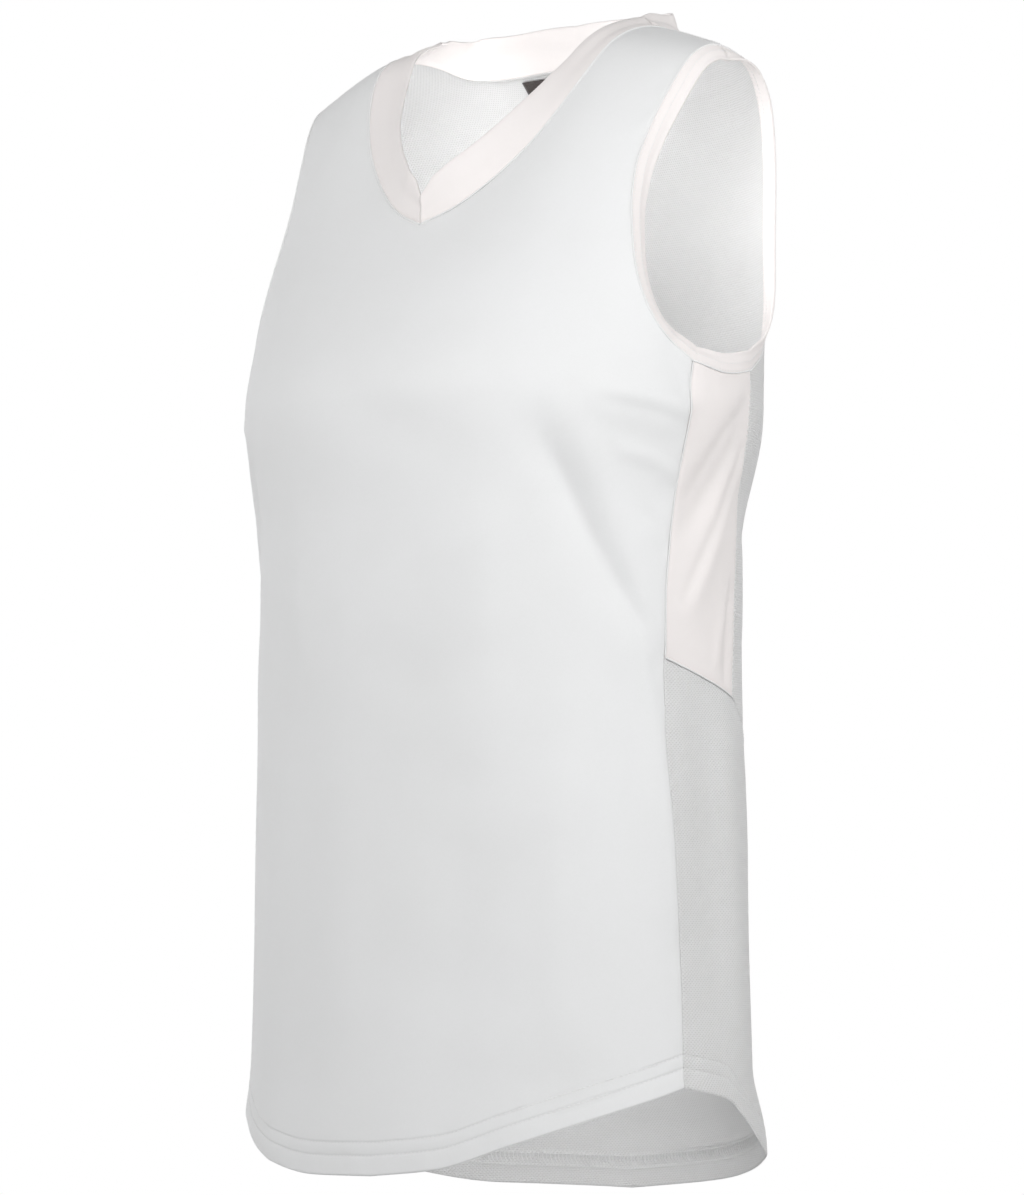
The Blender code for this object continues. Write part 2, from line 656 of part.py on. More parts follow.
def main():
    for old in list(bpy.data.objects):
        bpy.data.objects.remove(old, do_unlink=True)
    bpy.context.scene.collection.children.link(collection)
    materials = {name: make_material(name) for name in COLOURS}
    sides = ("start", "end")
    front = joined(front_half(FRONT_HEM_LEFT), front_half(FRONT_HEM_RIGHT))
    panel("front_panel", front, ("top",) + sides,
          materials["smooth_knit"], hemmed=True)
    upper = back_upper_half()
    panel("back_upper", [line[::-1] for line in joined(upper, upper)],
          ("bottom", "top") + sides, materials["back_mesh"])
    lower = joined(back_lower_half(BACK_HEM_LEFT), back_lower_half(BACK_HEM_RIGHT))
    panel("back_lower", [line[::-1] for line in lower],
          ("top",) + sides, materials["back_mesh"], hemmed=True)
    for side, word in ((1, "left"), (-1, "right")):
        insert("side_insert_" + word, side, materials["trim_knit"])
        binding("armhole_binding_" + word, side, materials["trim_knit"])
    loop = neckband_loop()
    neckband("neckband_front_left", loop, 0, NECK_CELLS, materials["trim_knit"])
    neckband("neckband_back", loop, NECK_CELLS, 2 * BACK_NECK_CELLS, materials["trim_knit"])
    neckband("neckband_front_right", loop, -NECK_CELLS, NECK_CELLS, materials["trim_knit"])
    neck_label("neck_label", materials["label_satin"])


main()
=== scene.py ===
"""Softball jersey: the cloth, thread and light that dress the rigid frame.

The frame's row is in metres: the origin is midway between the two points where the shoulder
seams meet the neck seam, +X is the wearer's left, -Y the front and +Z up.
Every panel lies on one form, the same one that the solids were made on. A place on it is an
angle from the centre front, in degrees, and a height, which counts on past the bust line to
the shoulder line. Panels are grids of such places. Each becomes a thin sheet with folds.
"""
import math

import bpy
import numpy as np
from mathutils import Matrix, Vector
from mathutils.bvhtree import BVHTree


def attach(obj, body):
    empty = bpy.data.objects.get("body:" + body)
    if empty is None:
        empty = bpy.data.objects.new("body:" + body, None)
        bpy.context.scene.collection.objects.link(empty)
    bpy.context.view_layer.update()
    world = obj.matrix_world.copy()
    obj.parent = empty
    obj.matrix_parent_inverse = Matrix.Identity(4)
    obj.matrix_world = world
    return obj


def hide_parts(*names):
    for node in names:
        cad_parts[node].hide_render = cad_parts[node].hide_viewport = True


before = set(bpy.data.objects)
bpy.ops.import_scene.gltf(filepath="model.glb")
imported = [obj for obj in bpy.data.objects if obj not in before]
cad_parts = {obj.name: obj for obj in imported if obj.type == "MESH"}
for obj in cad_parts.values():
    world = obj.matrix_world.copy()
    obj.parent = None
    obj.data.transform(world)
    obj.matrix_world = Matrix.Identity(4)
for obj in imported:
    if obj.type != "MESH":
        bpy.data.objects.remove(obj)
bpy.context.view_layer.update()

# Cloth
KNIT_WALL = 0.0010
HEM_WALL = 0.0021          # two layers, turned up inside
HEM_TURN = 0.0195
BAND_WALL = 0.0020
BAND_FOLD = 0.0009         # height of the soft folds that run along the neckband
BINDING_WIDTH = 0.012
LABEL_WIDTH, LABEL_DROP, LABEL_THICK = 0.078, 0.030, 0.0007
LABEL_MIDDLE_X = -0.008
LABEL_CLEAR = 0.0015       # from the neck seam down to the label
LABEL_GAP = 0.0010         # between the label and the back panel
LABEL_CELLS = (40, 16)
SEAM_DIP, SEAM_DIP_REACH = 0.00075, 0.0022   # how the cloth rolls in to a seam
STITCH_DIP, STITCH_DIP_REACH = 0.00055, 0.00075   # how a row of stitches pulls the cloth in
PUCKER_LIFT, PUCKER_REACH, PUCKER_PITCH = 0.00042, 0.016, 0.011
CLOTH_WAVE, CLOTH_WAVE_PITCH = 0.00022, 0.034                     # slack all over a panel
HEM_WAVE, HEM_WAVE_PITCH, HEM_WAVE_REACH = 0.00030, 0.013, 0.03   # slack beside the hem
HEM_END, HEM_THINS = 0.0006, 0.0012   # the turned layer's end past the turn, and its slope
HEM_ROUND = 0.0011                    # how far the folded hem edge is rounded
BAND_WIDTH = 0.0255
BAND_DIP_REACH, BINDING_DIP_REACH = 0.0014, 0.0012
BAND_DRIFT_PITCH, BAND_STRENGTH_PITCH = 0.045, 0.06
BINDING_CROWN, BINDING_SINK = 0.00028, 0.0002   # the binding's two soft ribs
LABEL_SAG = 0.0006
# Painted shade: the cloth's colour is darkened beside a seam, out to these widths.
SEAM_SHADE_REACH, TRIM_SEAM_SHADE_REACH = 0.006, 0.004        # how wide the cloth is darker at a seam

# Thread
THREAD = 0.00021           # half its thickness
STITCH_PITCH, STITCH_LENGTH = 0.0028, 0.0021
HEM_ROWS = (0.0114, 0.0190)      # from the hem's edge
LOOPS_FROM, LOOPS_TO = 0.0128, 0.0212
NECK_ROW = 0.0016                # from the neck seam, on the body
SHOULDER_ROWS = (0.0016, 0.0052) # from the shoulder seam
SEAM_ROW = 0.0015                # from an insert's back seam, and from the lower back's seam
BINDING_ROWS = (0.0014, 0.0056)  # from the binding's seam
SEAM_ROLL, FINE_ROLL = 0.00056, 0.00042   # half the thickness of the narrow roll along a seam
ROLL_SINK = 0.0001               # how far a roll's middle lies below its seam
SMALL_PITCH, SMALL_LENGTH, SMALL_THREAD = 0.0024, 0.0017, 0.00016   # on the bindings
NECK_PITCH, NECK_LENGTH = 0.0023, 0.0016
INSERT_PITCH, INSERT_LENGTH = 0.0034, 0.0018
YOKE_PITCH, YOKE_LENGTH = 0.0036, 0.0022
THREAD_SIDES = 6

# Colours, as a light and a dark tone of each thing. The finishes mix them in random patches, and
# the cloth, thread and ribbon also as painted shade: in grooves, in the mesh holes and beside
# seams.
KNIT_LIGHT, KNIT_SHADE = (0.90, 0.905, 0.915, 1.0), (0.80, 0.805, 0.80, 1.0)
MESH_LIGHT, MESH_SHADE = (0.93, 0.93, 0.935, 1.0), (0.77, 0.77, 0.765, 1.0)
TRIM_LIGHT, TRIM_SHADE = (0.97, 0.935, 0.925, 1.0), (0.90, 0.85, 0.835, 1.0)
THREAD_LIGHT, THREAD_SHADE = (0.98, 0.98, 0.98, 1.0), (0.80, 0.80, 0.80, 1.0)
RIBBON_LIGHT, RIBBON_SHADE = (0.050, 0.036, 0.033, 1.0), (0.022, 0.015, 0.014, 1.0)
FLOOR_LIGHT, FLOOR_SHADE = (0.90, 0.90, 0.90, 1.0), (0.86, 0.86, 0.86, 1.0)

# Stage, light and camera
CAMERA_TARGET = Vector((0.0, -0.020, -0.3333))
CAMERA_TURN, CAMERA_RISE = 40.0, -3.1        # degrees
CAMERA_AWAY = 3.0
PHOTO_WIDTH = 1024
METRES_A_PIXEL = 0.000594                    # at the target
SENSOR = 36.0
FLOOR_Z, FLOOR_REACH = -1.35, 8.0
WORLD_LIGHT, ABOVE_LIGHT = 1.25, 0.02    # how strongly the white round about lights the cloth
LIGHTS = [
    # name, place, target, size, watts
    ("key_light", (0.51, -1.13, 0.50), (0.05, -0.10, -0.15), 0.9, 6.6),
    ("side_light", (1.5, -0.25, 0.10), (0.12, -0.03, -0.35), 1.0, 4.6),
    ("inner_light_armhole", (0.070, -0.055, -0.115), (0.08, 0.08, -0.10), 0.08, 0.125),
    ("inner_light_neck", (-0.065, -0.01, -0.06), (-0.105, 0.055, -0.045), 0.05, 0.034),
    ("inner_light_hem", (-0.02, -0.03, -0.60), (-0.02, 0.09, -0.66), 0.10, 0.092),
]

# The form below the bust line: one row for each level ring, in metres.
BUST_Z = -0.225
RING_POWER = 2.08          # 2 is an ellipse, more is squarer
RINGS = [
    # height, half_width, front_depth, back_depth, middle_y
    (-0.710, 0.175, 0.113, 0.130, -0.034),
    (-0.655, 0.172, 0.113, 0.127, -0.034),
    (-0.608, 0.166, 0.112, 0.109, -0.033),
    (-0.465, 0.162, 0.112, 0.106, -0.032),
    (-0.355, 0.158, 0.116, 0.108, -0.031),
    (-0.290, 0.160, 0.118, 0.110, -0.030),
    (BUST_Z, 0.171, 0.123, 0.118, -0.0295),
]

# The form above the bust line closes to the shoulder line.
NECK_POINT_X = 0.098
TIP_X, TIP_Y, TIP_Z = 0.161, -0.016, -0.022
RIGHT_TIP_Z = -0.034       # the wearer's right shoulder hangs a little lower
YOKE_SPAN = 0.44           # height at the shoulder line, counted from the bust line
SHOULDER_HEIGHT = BUST_Z + YOKE_SPAN
YOKE_DEPTHS = [
    # share of the yoke still above, then the share of the depth that is left:
    # climb, front_centre, front_side, back_centre, back_side
    (0.00, 0.00, 0.00, 0.00, 0.00),
    (0.25, 0.19, 0.36, 0.22, 0.56),
    (0.50, 0.45, 0.59, 0.58, 0.80),
    (0.72, 0.71, 0.75, 0.84, 0.91),
    (0.88, 0.89, 0.90, 0.99, 1.00),
    (1.00, 1.00, 1.00, 1.00, 1.00),
]

# Seams and edges on the form, as half curves. Angles are degrees from the centre front.
SIDE_SEAM = [
    # angle, height
    (76.3, -0.618), (76.4, -0.568), (74.5, -0.486), (72.8, -0.425), (73.1, -0.3746),
]
INSERT_FRONT_SEAM = [(73.1, -0.3746), (73.4, -0.342), (75.4, -0.285), (77.0, -0.2058)]
INSERT_BACK_SEAM = [(102.0, -0.396), (104.5, -0.345), (103.5, -0.285), (100.5, -0.2076)]
INSERT_HEM_SEAM = [(73.1, -0.3746), (88.0, -0.386), (102.0, -0.396)]
UNDERARM_SEAM = [(77.0, -0.2058), (89.0, -0.2110), (100.5, -0.2076)]
BACK_YOKE_SEAM = [(102.0, -0.396), (117.0, -0.4165), (140.0, -0.440), (180.0, -0.452)]
FRONT_HEM_LEFT = [
    (0.0, -0.6697), (15.0, -0.6645), (31.0, -0.6505), (51.0, -0.6345), (76.3, -0.618),
]
FRONT_HEM_RIGHT = [
    (0.0, -0.6697), (15.0, -0.6705), (31.0, -0.6650), (51.0, -0.6440), (76.3, -0.618),
]
# The back hem's tail hangs a little to the wearer's right.
BACK_HEM_LEFT = [
    (76.3, -0.618), (92.2, -0.6250), (100.8, -0.6380), (112.0, -0.6540), (128.0, -0.6640),
    (150.0, -0.6770), (180.0, -0.6875),
]
BACK_HEM_RIGHT = [
    (76.3, -0.618), (89.0, -0.6320), (100.0, -0.6520), (112.0, -0.6675), (128.0, -0.6790),
    (150.0, -0.6870), (180.0, -0.6875),
]
# Above the bust line edges are given in front view.
FRONT_NECKLINE = [
    # half_width, height
    (0.0, -0.1185), (0.021, -0.1100), (0.041, -0.0952), (0.0665, -0.0655), (0.0845, -0.0285),
    (0.098, 0.0),
]
BACK_NECKLINE = [
    (0.0, -0.0097), (0.048, -0.0095), (0.075, -0.0088), (0.089, -0.0062), (0.098, 0.0),
]
SHOULDER_END_X = 0.150
FRONT_ARMHOLE = [
    # height, half_width
    (-0.0174, 0.150), (-0.0384, 0.1426), (-0.0716, 0.1354), (-0.0913, 0.1334),
    (-0.1080, 0.1345), (-0.1519, 0.1438), (-0.1872, 0.1567), (-0.2058, 0.1668),
]
BACK_ARMHOLE = [
    (-0.0174, 0.150), (-0.0450, 0.1475), (-0.0800, 0.1465), (-0.1200, 0.1475),
    (-0.1600, 0.1510), (-0.1900, 0.1575), (-0.2076, 0.1682),
]

# The neckband, round half the neck: 0 is the centre front, 1 the shoulder, 2 the centre back.
NECKBAND = [
    # place, width, slant (degrees along the seam), lift (degrees out of the form)
    (0.00, 0.0170, 0.0, 33.0), (0.10, 0.0250, 8.0, 33.0), (0.20, 0.0265, 4.0, 30.0),
    (0.45, 0.0265, 0.0, 17.0), (0.60, 0.0262, 3.0, 4.0), (0.72, 0.0255, 8.0, -4.0),
    (0.85, 0.0240, 16.0, -2.0), (1.00, 0.0235, 14.0, 9.0), (1.15, 0.0215, 4.0, 26.0),
    (1.30, 0.0235, -4.0, 36.0), (1.50, 0.0265, -4.0, 42.0), (2.00, 0.0265, 0.0, 45.0),
]
BINDING_LEANS = [
    # cell round the armhole from the shoulder down the front, degrees that the free edge turns in
    (0.0, 40.0), (2.0, 26.0), (4.5, 44.0), (7.0, 64.0), (9.5, 60.0), (11.5, 42.0), (13.5, 20.0),
    (16.0, 4.0), (18.0, -16.0), (20.5, -36.0), (26.0, -36.0), (28.0, -4.0), (29.0, 40.0),
]

# The solids' cells, which the sheets' finer ones lie between.
NECK_CELLS, BACK_NECK_CELLS, SHOULDER_CELLS = 14, 10, 6
SIDE_CELLS, INSERT_CELLS, ARMHOLE_CELLS = 15, 10, 12
INSERT_WIDTH_CELLS = 5
GUIDE_PULL = 0.66          # how far the neck point's column follows the armhole side
WAIST_ROW, BUST_ROW = -0.385, -0.240
BACK_BUST_ROW = -0.222
COLUMN_SPLITS, ROW_SPLITS, TRIM_SPLITS = 4, 6, 8
SEAM_STEPS = (0.012, 0.035, 0.070, 0.100, 0.140)   # finer cells beside a seam, as shares of one
ROW_STEPS = (-0.0008, -0.0004, 0.0, 0.0004, 0.0008)   # finer cells beside a row of stitches

# The folds that the solids have too: soft ridges, or troughs where the depth is below 0.
# Each runs from a place a through a place m to a place b.
FOLDS = [
    # angle_a, height_a, angle_m, height_m, angle_b, height_b, width, depth
    # front, wearer's left
    (39.0, -0.243, 51.5, -0.300, 64.5, -0.356, 0.0130, -0.0035),
    (47.0, -0.240, 61.0, -0.312, 72.0, -0.368, 0.0140, 0.0032),
    (60.5, -0.345, 69.0, -0.405, 72.0, -0.520, 0.0130, 0.0026),
    (50.0, -0.226, 64.0, -0.229, 75.5, -0.236, 0.0110, 0.0028),
    (70.5, -0.190, 73.5, -0.208, 76.0, -0.226, 0.0080, -0.0020),
    (46.5, -0.400, 45.5, -0.500, 46.0, -0.600, 0.0220, 0.0022),
    (20.0, -0.440, 19.5, -0.520, 17.0, -0.640, 0.0240, -0.0020),
    (27.0, -0.250, 25.0, -0.330, 24.0, -0.430, 0.0260, 0.0024),
    # front, wearer's right
    (-49.0, -0.252, -58.0, -0.306, -68.0, -0.356, 0.0125, -0.0026),
    (-58.0, -0.262, -66.0, -0.322, -72.0, -0.374, 0.0130, 0.0028),
    (-62.0, -0.226, -69.0, -0.232, -75.5, -0.240, 0.0100, 0.0024),
    (-63.0, -0.360, -68.0, -0.430, -70.0, -0.560, 0.0150, 0.0024),
    (-7.0, -0.440, -7.5, -0.520, -10.0, -0.640, 0.0240, 0.0018),
    (-34.0, -0.400, -33.0, -0.500, -36.0, -0.610, 0.0240, 0.0022),
    # side inserts
    (99.5, -0.232, 90.0, -0.268, 78.0, -0.306, 0.0090, -0.0028),
    (96.0, -0.262, 90.0, -0.306, 82.0, -0.345, 0.0090, 0.0024),
    (-99.0, -0.236, -89.0, -0.276, -78.5, -0.318, 0.0095, -0.0026),
    (-96.0, -0.270, -91.0, -0.312, -83.0, -0.352, 0.0090, 0.0022),
    # sides of the lower back
    (86.0, -0.400, 88.0, -0.470, 87.0, -0.570, 0.0160, -0.0026),
    (97.0, -0.420, 99.0, -0.500, 102.0, -0.610, 0.0170, 0.0026),
    (-87.0, -0.402, -90.0, -0.480, -89.0, -0.580, 0.0165, -0.0025),
    (-99.0, -0.424, -100.0, -0.510, -104.0, -0.620, 0.0175, 0.0026),
    # back
    (112.0, -0.250, 124.0, -0.320, 142.0, -0.400, 0.0190, -0.0022),
    (124.0, -0.245, 140.0, -0.310, 154.0, -0.370, 0.0180, 0.0030),
    (150.0, -0.470, 152.0, -0.550, 149.0, -0.640, 0.0240, -0.0030),
    (128.0, -0.440, 130.0, -0.540, 126.0, -0.640, 0.0220, 0.0028),
    (-113.0, -0.255, -127.0, -0.330, -144.0, -0.410, 0.0190, 0.0034),
    (-122.0, -0.240, -139.0, -0.310, -155.0, -0.372, 0.0170, -0.0026),
    (-158.0, -0.460, -155.0, -0.550, -158.0, -0.650, 0.0240, -0.0030),
    (-133.0, -0.450, -131.0, -0.550, -135.0, -0.640, 0.0220, 0.0028),
    (176.0, -0.300, 178.0, -0.380, 174.0, -0.460, 0.0240, 0.0024),
]
# The small creases, given in the same way.
CREASES = [
    # front, wearer's left: the drag from the bust to the side seam and what branches off it
    (40.6, -0.2525, 52.0, -0.303, 66.0, -0.354, 0.0056, -0.0016),
    (60.0, -0.334, 71.0, -0.376, 74.5, -0.440, 0.0052, -0.0013),
    (71.2, -0.197, 74.0, -0.209, 76.1, -0.220, 0.0032, 0.0014),
    (52.5, -0.230, 63.6, -0.234, 76.0, -0.241, 0.0046, -0.0013),
    (58.0, -0.257, 67.0, -0.262, 75.5, -0.272, 0.0048, 0.0010),
    (64.0, -0.290, 70.0, -0.299, 74.5, -0.313, 0.0042, -0.0006),
    (30.0, -0.290, 28.0, -0.345, 29.0, -0.400, 0.0110, 0.0007),
    (9.0, -0.230, 15.0, -0.212, 24.0, -0.200, 0.0130, 0.0006),
    (43.0, -0.470, 42.0, -0.540, 43.5, -0.600, 0.0090, 0.0006),
    (60.0, -0.430, 61.5, -0.500, 59.0, -0.590, 0.0080, -0.0006),
    (-5.6, -0.6690, -5.9, -0.6630, -6.4, -0.6560, 0.0014, -0.0008),
    (33.0, -0.640, 34.5, -0.632, 35.0, -0.620, 0.0040, 0.0006),
    (-12.0, -0.205, 4.0, -0.238, 26.0, -0.262, 0.0180, -0.0012),
    (14.0, -0.318, 30.0, -0.300, 44.0, -0.262, 0.0150, 0.0010),
    (-2.0, -0.372, 14.0, -0.388, 32.0, -0.372, 0.0200, -0.0012),
    (8.0, -0.452, 26.0, -0.470, 52.0, -0.452, 0.0190, 0.0010),
    (52.0, -0.548, 30.0, -0.566, 2.0, -0.548, 0.0210, -0.0011),
    (73.0, -0.612, 74.0, -0.604, 74.2, -0.594, 0.0026, -0.0008),
    # front, wearer's right
    (-55.0, -0.316, -64.0, -0.346, -71.5, -0.374, 0.0060, -0.0010),
    (-66.0, -0.196, -72.0, -0.208, -75.8, -0.221, 0.0034, 0.0009),
    (-58.0, -0.236, -67.0, -0.240, -75.5, -0.246, 0.0046, -0.0008),
    (-61.0, -0.272, -68.0, -0.280, -74.5, -0.290, 0.0044, 0.0007),
    (-22.0, -0.262, -23.0, -0.330, -21.0, -0.392, 0.0100, 0.0007),
    (-50.0, -0.440, -49.0, -0.520, -51.0, -0.585, 0.0080, 0.0006),
    # side inserts: the two drags from the underarm to the front seam
    (99.0, -0.226, 90.0, -0.244, 79.0, -0.284, 0.0050, -0.0018),
    (100.5, -0.252, 92.0, -0.292, 80.0, -0.340, 0.0040, -0.0022),
    (101.5, -0.330, 98.5, -0.360, 97.0, -0.386, 0.0034, -0.0016),
    (96.0, -0.345, 93.5, -0.365, 92.0, -0.380, 0.0040, 0.0011),
    (79.0, -0.218, 84.0, -0.226, 90.0, -0.229, 0.0036, 0.0006),
    (-98.5, -0.230, -89.0, -0.250, -79.5, -0.291, 0.0050, -0.0017),
    (-100.0, -0.258, -91.5, -0.300, -80.5, -0.344, 0.0042, -0.0019),
    (-101.0, -0.336, -97.5, -0.364, -96.5, -0.388, 0.0034, -0.0008),
    # back: drags from the yoke seam and the underarms
    (108.0, -0.236, 116.0, -0.262, 125.0, -0.296, 0.0055, -0.0009),
    (106.0, -0.300, 114.0, -0.330, 123.0, -0.368, 0.0050, 0.0008),
    (131.0, -0.396, 139.0, -0.420, 143.0, -0.448, 0.0060, -0.0008),
    (166.0, -0.400, 170.0, -0.440, 168.0, -0.500, 0.0080, 0.0007),
    (118.0, -0.500, 116.5, -0.560, 119.0, -0.620, 0.0075, -0.0008),
    (141.0, -0.560, 140.0, -0.600, 142.5, -0.650, 0.0090, 0.0007),
    (-107.0, -0.242, -116.0, -0.270, -127.0, -0.306, 0.0055, -0.0009),
    (-105.0, -0.306, -112.0, -0.336, -120.0, -0.376, 0.0050, 0.0007),
    (-129.0, -0.392, -137.0, -0.416, -141.0, -0.444, 0.0060, -0.0008),
    (-168.0, -0.396, -171.0, -0.440, -167.0, -0.506, 0.0080, 0.0006),
    (-120.0, -0.505, -118.0, -0.570, -121.0, -0.630, 0.0075, -0.0008),
    (-145.0, -0.555, -143.0, -0.610, -146.0, -0.655, 0.0090, 0.0007),
    # shoulders
    (48.0, -0.030, 55.0, 0.020, 62.0, 0.060, 0.0075, 0.0006),
    (-50.0, -0.036, -57.0, 0.014, -63.0, 0.058, 0.0075, 0.0006),
]


# ---------------------------------------------------------------- curves through rows

def slopes(places, values):
    """Slopes of a smooth curve through the rows that never overshoots them."""
    steps = np.diff(values) / np.diff(places)
    before, after = steps[:-1], steps[1:]
    same_way = before * after > 0
    inner = 2 * before * after / np.where(same_way, before + after, 1.0)
    return np.concatenate(([steps[0]], np.where(same_way, inner, 0.0), [steps[-1]]))


def through(rows, column, place, level_end=False):
    """Values of one column at places along the first column."""
    table = np.array(rows, float)
    places, values = table[:, 0], table[:, column]
    tangents = slopes(places, values)
    if level_end:
        tangents[-1] = 0.0
    place = np.clip(place, places[0], places[-1])
    k = np.clip(np.searchsorted(places, place, side="right") - 1, 0, len(places) - 2)
    span = places[k + 1] - places[k]
    t = (place - places[k]) / span
    return ((1 + 2 * t) * (1 - t) ** 2 * values[k] + t * (1 - t) ** 2 * span * tangents[k]
            + t * t * (3 - 2 * t) * values[k + 1] + t * t * (t - 1) * span * tangents[k + 1])


def ease(t):
    t = np.clip(t, 0.0, 1.0)
    return t * t * (3 - 2 * t)


def unit(vectors):
    return vectors / np.maximum(np.linalg.norm(vectors, axis=-1, keepdims=True), 1e-12)


def uneven(distance, pitch, seed):
    """A smooth, uneven wave between -1 and 1 along a distance, about one bend to a pitch."""
    draws = np.random.default_rng(seed).uniform(-1.0, 1.0, 512)
    step = np.asarray(distance) / pitch
    low = np.floor(step).astype(int)
    share = ease(step - low)
    return draws[low % 512] * (1 - share) + draws[(low + 1) % 512] * share


def between(place, stops, table):
    """Rows of a table read at places between its stops."""
    return np.stack([np.interp(place, stops, table[:, axis]) for axis in range(table.shape[1])],
                    axis=-1)


def travel(points, axis=0):
    """Distances travelled along one axis of a grid of points, from 0 at its start."""
    steps = np.linalg.norm(np.diff(points, axis=axis), axis=-1)
    first = np.zeros_like(np.take(steps, [0], axis=axis))
    return np.concatenate((first, np.cumsum(steps, axis=axis)), axis=axis)


# ---------------------------------------------------------------- the form

def shoulder_line(x):
    """The y and z of the shoulder line, a shallow arch through the neck points and tips."""
    share = (x * x - NECK_POINT_X ** 2) / (TIP_X ** 2 - NECK_POINT_X ** 2)
    return TIP_Y * share, np.where(x < -NECK_POINT_X, RIGHT_TIP_Z, TIP_Z) * share


def yoke_share(x, climb, front):
    """Share of the bust line's depth that is left at a climb of 1 (bust) to 0 (shoulder)."""
    shares = [through(YOKE_DEPTHS, column, climb, level_end=True) for column in (1, 2, 3, 4)]
    blend = ease(np.abs(x) / np.where(front, NECK_POINT_X, SHOULDER_END_X))
    centre = np.where(front, shares[0], shares[2])
    side = np.where(front, shares[1], shares[3])
    return (1 - blend) * centre + blend * side


def bare_form(places):
    """Points of the form, before folds. Places are angles and heights on the last axis."""
    turn, height = np.radians(places[..., 0]), places[..., 1]
    front = np.cos(turn) >= 0
    level = np.minimum(height, BUST_Z)
    half_width, front_depth, back_depth, middle_y = (
        through(RINGS, column, level, level_end=True) for column in (1, 2, 3, 4))
    x = half_width * np.abs(np.sin(turn)) ** (2 / RING_POWER) * np.sign(np.sin(turn))
    depth = np.where(front, front_depth, back_depth) * np.abs(np.cos(turn)) ** (2 / RING_POWER)
    climb = np.clip(1 - (height - BUST_Z) / YOKE_SPAN, 0.0, 1.0)
    rise = 1 - climb * climb
    line_y, line_z = shoulder_line(x)
    z = level + (line_z - level) * rise
    y = middle_y + (line_y - middle_y) * ease(rise)
    depth = depth * yoke_share(x, climb, front)
    return np.stack((x, np.where(front, y - depth, y + depth), z), axis=-1)


def moved(places, turn, rise):
    """The places turned and raised a little, never past the shoulder line."""
    return np.stack((places[..., 0] + turn,
                     np.minimum(places[..., 1] + rise, SHOULDER_HEIGHT)), axis=-1)


def facing(surface, places, small_turn, small_rise):
    """The outward normals of a surface at its places."""
    level = np.stack((places[..., 0], np.minimum(places[..., 1], SHOULDER_HEIGHT)), axis=-1)
    across = surface(moved(places, small_turn, 0.0)) - surface(moved(places, -small_turn, 0.0))
    up = surface(moved(places, 0.0, small_rise)) - surface(moved(level, 0.0, -small_rise))
    return unit(np.cross(across, up))


def bare_normal(places):
    return facing(bare_form, places, 0.2, 0.0005)


def runs_of(rows):
    """Each fold's three points on the bare form, its width and its depth."""
    table = np.array(rows)
    points = bare_form(table[:, :6].reshape(-1, 3, 2))
    return list(zip(points, table[:, 6], table[:, 7]))


def reach_along(points, start, end):
    """Shares of a straight run nearest to the points, and how far off they are."""
    run = end - start
    share = (points - start) @ run / (run @ run)
    nearest = start + run * np.clip(share, 0.0, 1.0)[..., None]
    return share, np.linalg.norm(points - nearest, axis=-1)


def fold_depth(points, runs):
    """How far the folds lift the cloth at points of the bare form."""
    total = np.zeros(points.shape[:-1])
    for (start, middle, end), width, depth in runs:
        first, away_first = reach_along(points, start, middle)
        second, away_second = reach_along(points, middle, end)
        along = 0.5 * np.where(away_first < away_second, first, 1 + second)
        fade = ease((along + 0.25) / 0.5) * ease((1.25 - along) / 0.5)
        away = np.minimum(away_first, away_second)
        total += depth * fade * np.exp(-(away / width) ** 2)
    return total


def form(places):
    """The cloth's outer side with the folds that the solids have."""
    points = bare_form(places)
    return points + bare_normal(places) * fold_depth(points, FOLD_RUNS)[..., None]


def normal(places):
    return facing(form, places, 0.5, 0.001)


# ---------------------------------------------------------------- seams as curves of places

def from_front_view(x, z, back=False):
    """The angle and height whose point has this x and z, on the left half of the form."""
    half_width = float(through(RINGS, 1, min(z, BUST_Z), level_end=True))
    angle = math.degrees(math.asin(min(1.0, x / half_width) ** (RING_POWER / 2)))
    height = z
    if z > BUST_Z:
        rise = float((z - BUST_Z) / (shoulder_line(x)[1] - BUST_Z))
        height = BUST_Z + YOKE_SPAN * (1 - math.sqrt(max(0.0, 1 - rise)))
    return (180 - angle if back else angle), height


def place_low(angle, z):
    """A place given by angle and z, also where z is just above the bust line."""
    if z <= BUST_Z:
        return angle, z
    x = bare_form(np.array((angle, BUST_Z)))[0]
    return angle, from_front_view(x, z)[1]


class Seam:
    """Places along a seam, asked for by the number of solid cells from its start."""

    def __init__(self, places, cells, first_step=0.0):
        rows = [(k / (len(places) - 1),) + tuple(place) for k, place in enumerate(places)]
        t = np.linspace(0.0, 1.0, 161)
        self.places = np.stack((through(rows, 1, t), through(rows, 2, t)), axis=-1)
        self.travelled = travel(bare_form(self.places))
        self.cells = cells
        self.first_step = first_step or self.travelled[-1] / cells

    def at(self, cell):
        """Places at cell numbers, which may be fractions."""
        rest = (self.travelled[-1] - self.first_step) / (self.cells - 1)
        cell = np.asarray(cell, float)
        distance = np.where(cell < 1, cell * self.first_step,
                            self.first_step + rest * (cell - 1))
        return between(distance, self.travelled, self.places)


class Line:
    """Places on a line through stops, with so many cells between each two stops."""

    def __init__(self, places, cells):
        self.places = np.array(places, float)
        self.stops = np.concatenate(([0], np.cumsum(cells)))
        self.cells = int(self.stops[-1])

    def at(self, cell):
        return between(cell, self.stops, self.places)


class Joined:
    """Several seams, one after another."""

    def __init__(self, *seams):
        self.seams = seams
        self.cells = sum(seam.cells for seam in seams)

    def at(self, cell):
        cell = np.asarray(cell, float)
        result = np.empty(cell.shape + (2,))
        start = 0
        for seam in self.seams:
            here = (cell >= start) & (cell <= start + seam.cells)
            result[here] = seam.at(cell[here] - start)
            start += seam.cells
        return result


class Backwards:
    """A seam from its end to its start."""

    def __init__(self, seam):
        self.seam, self.cells = seam, seam.cells

    def at(self, cell):
        return self.seam.at(self.cells - np.asarray(cell, float))


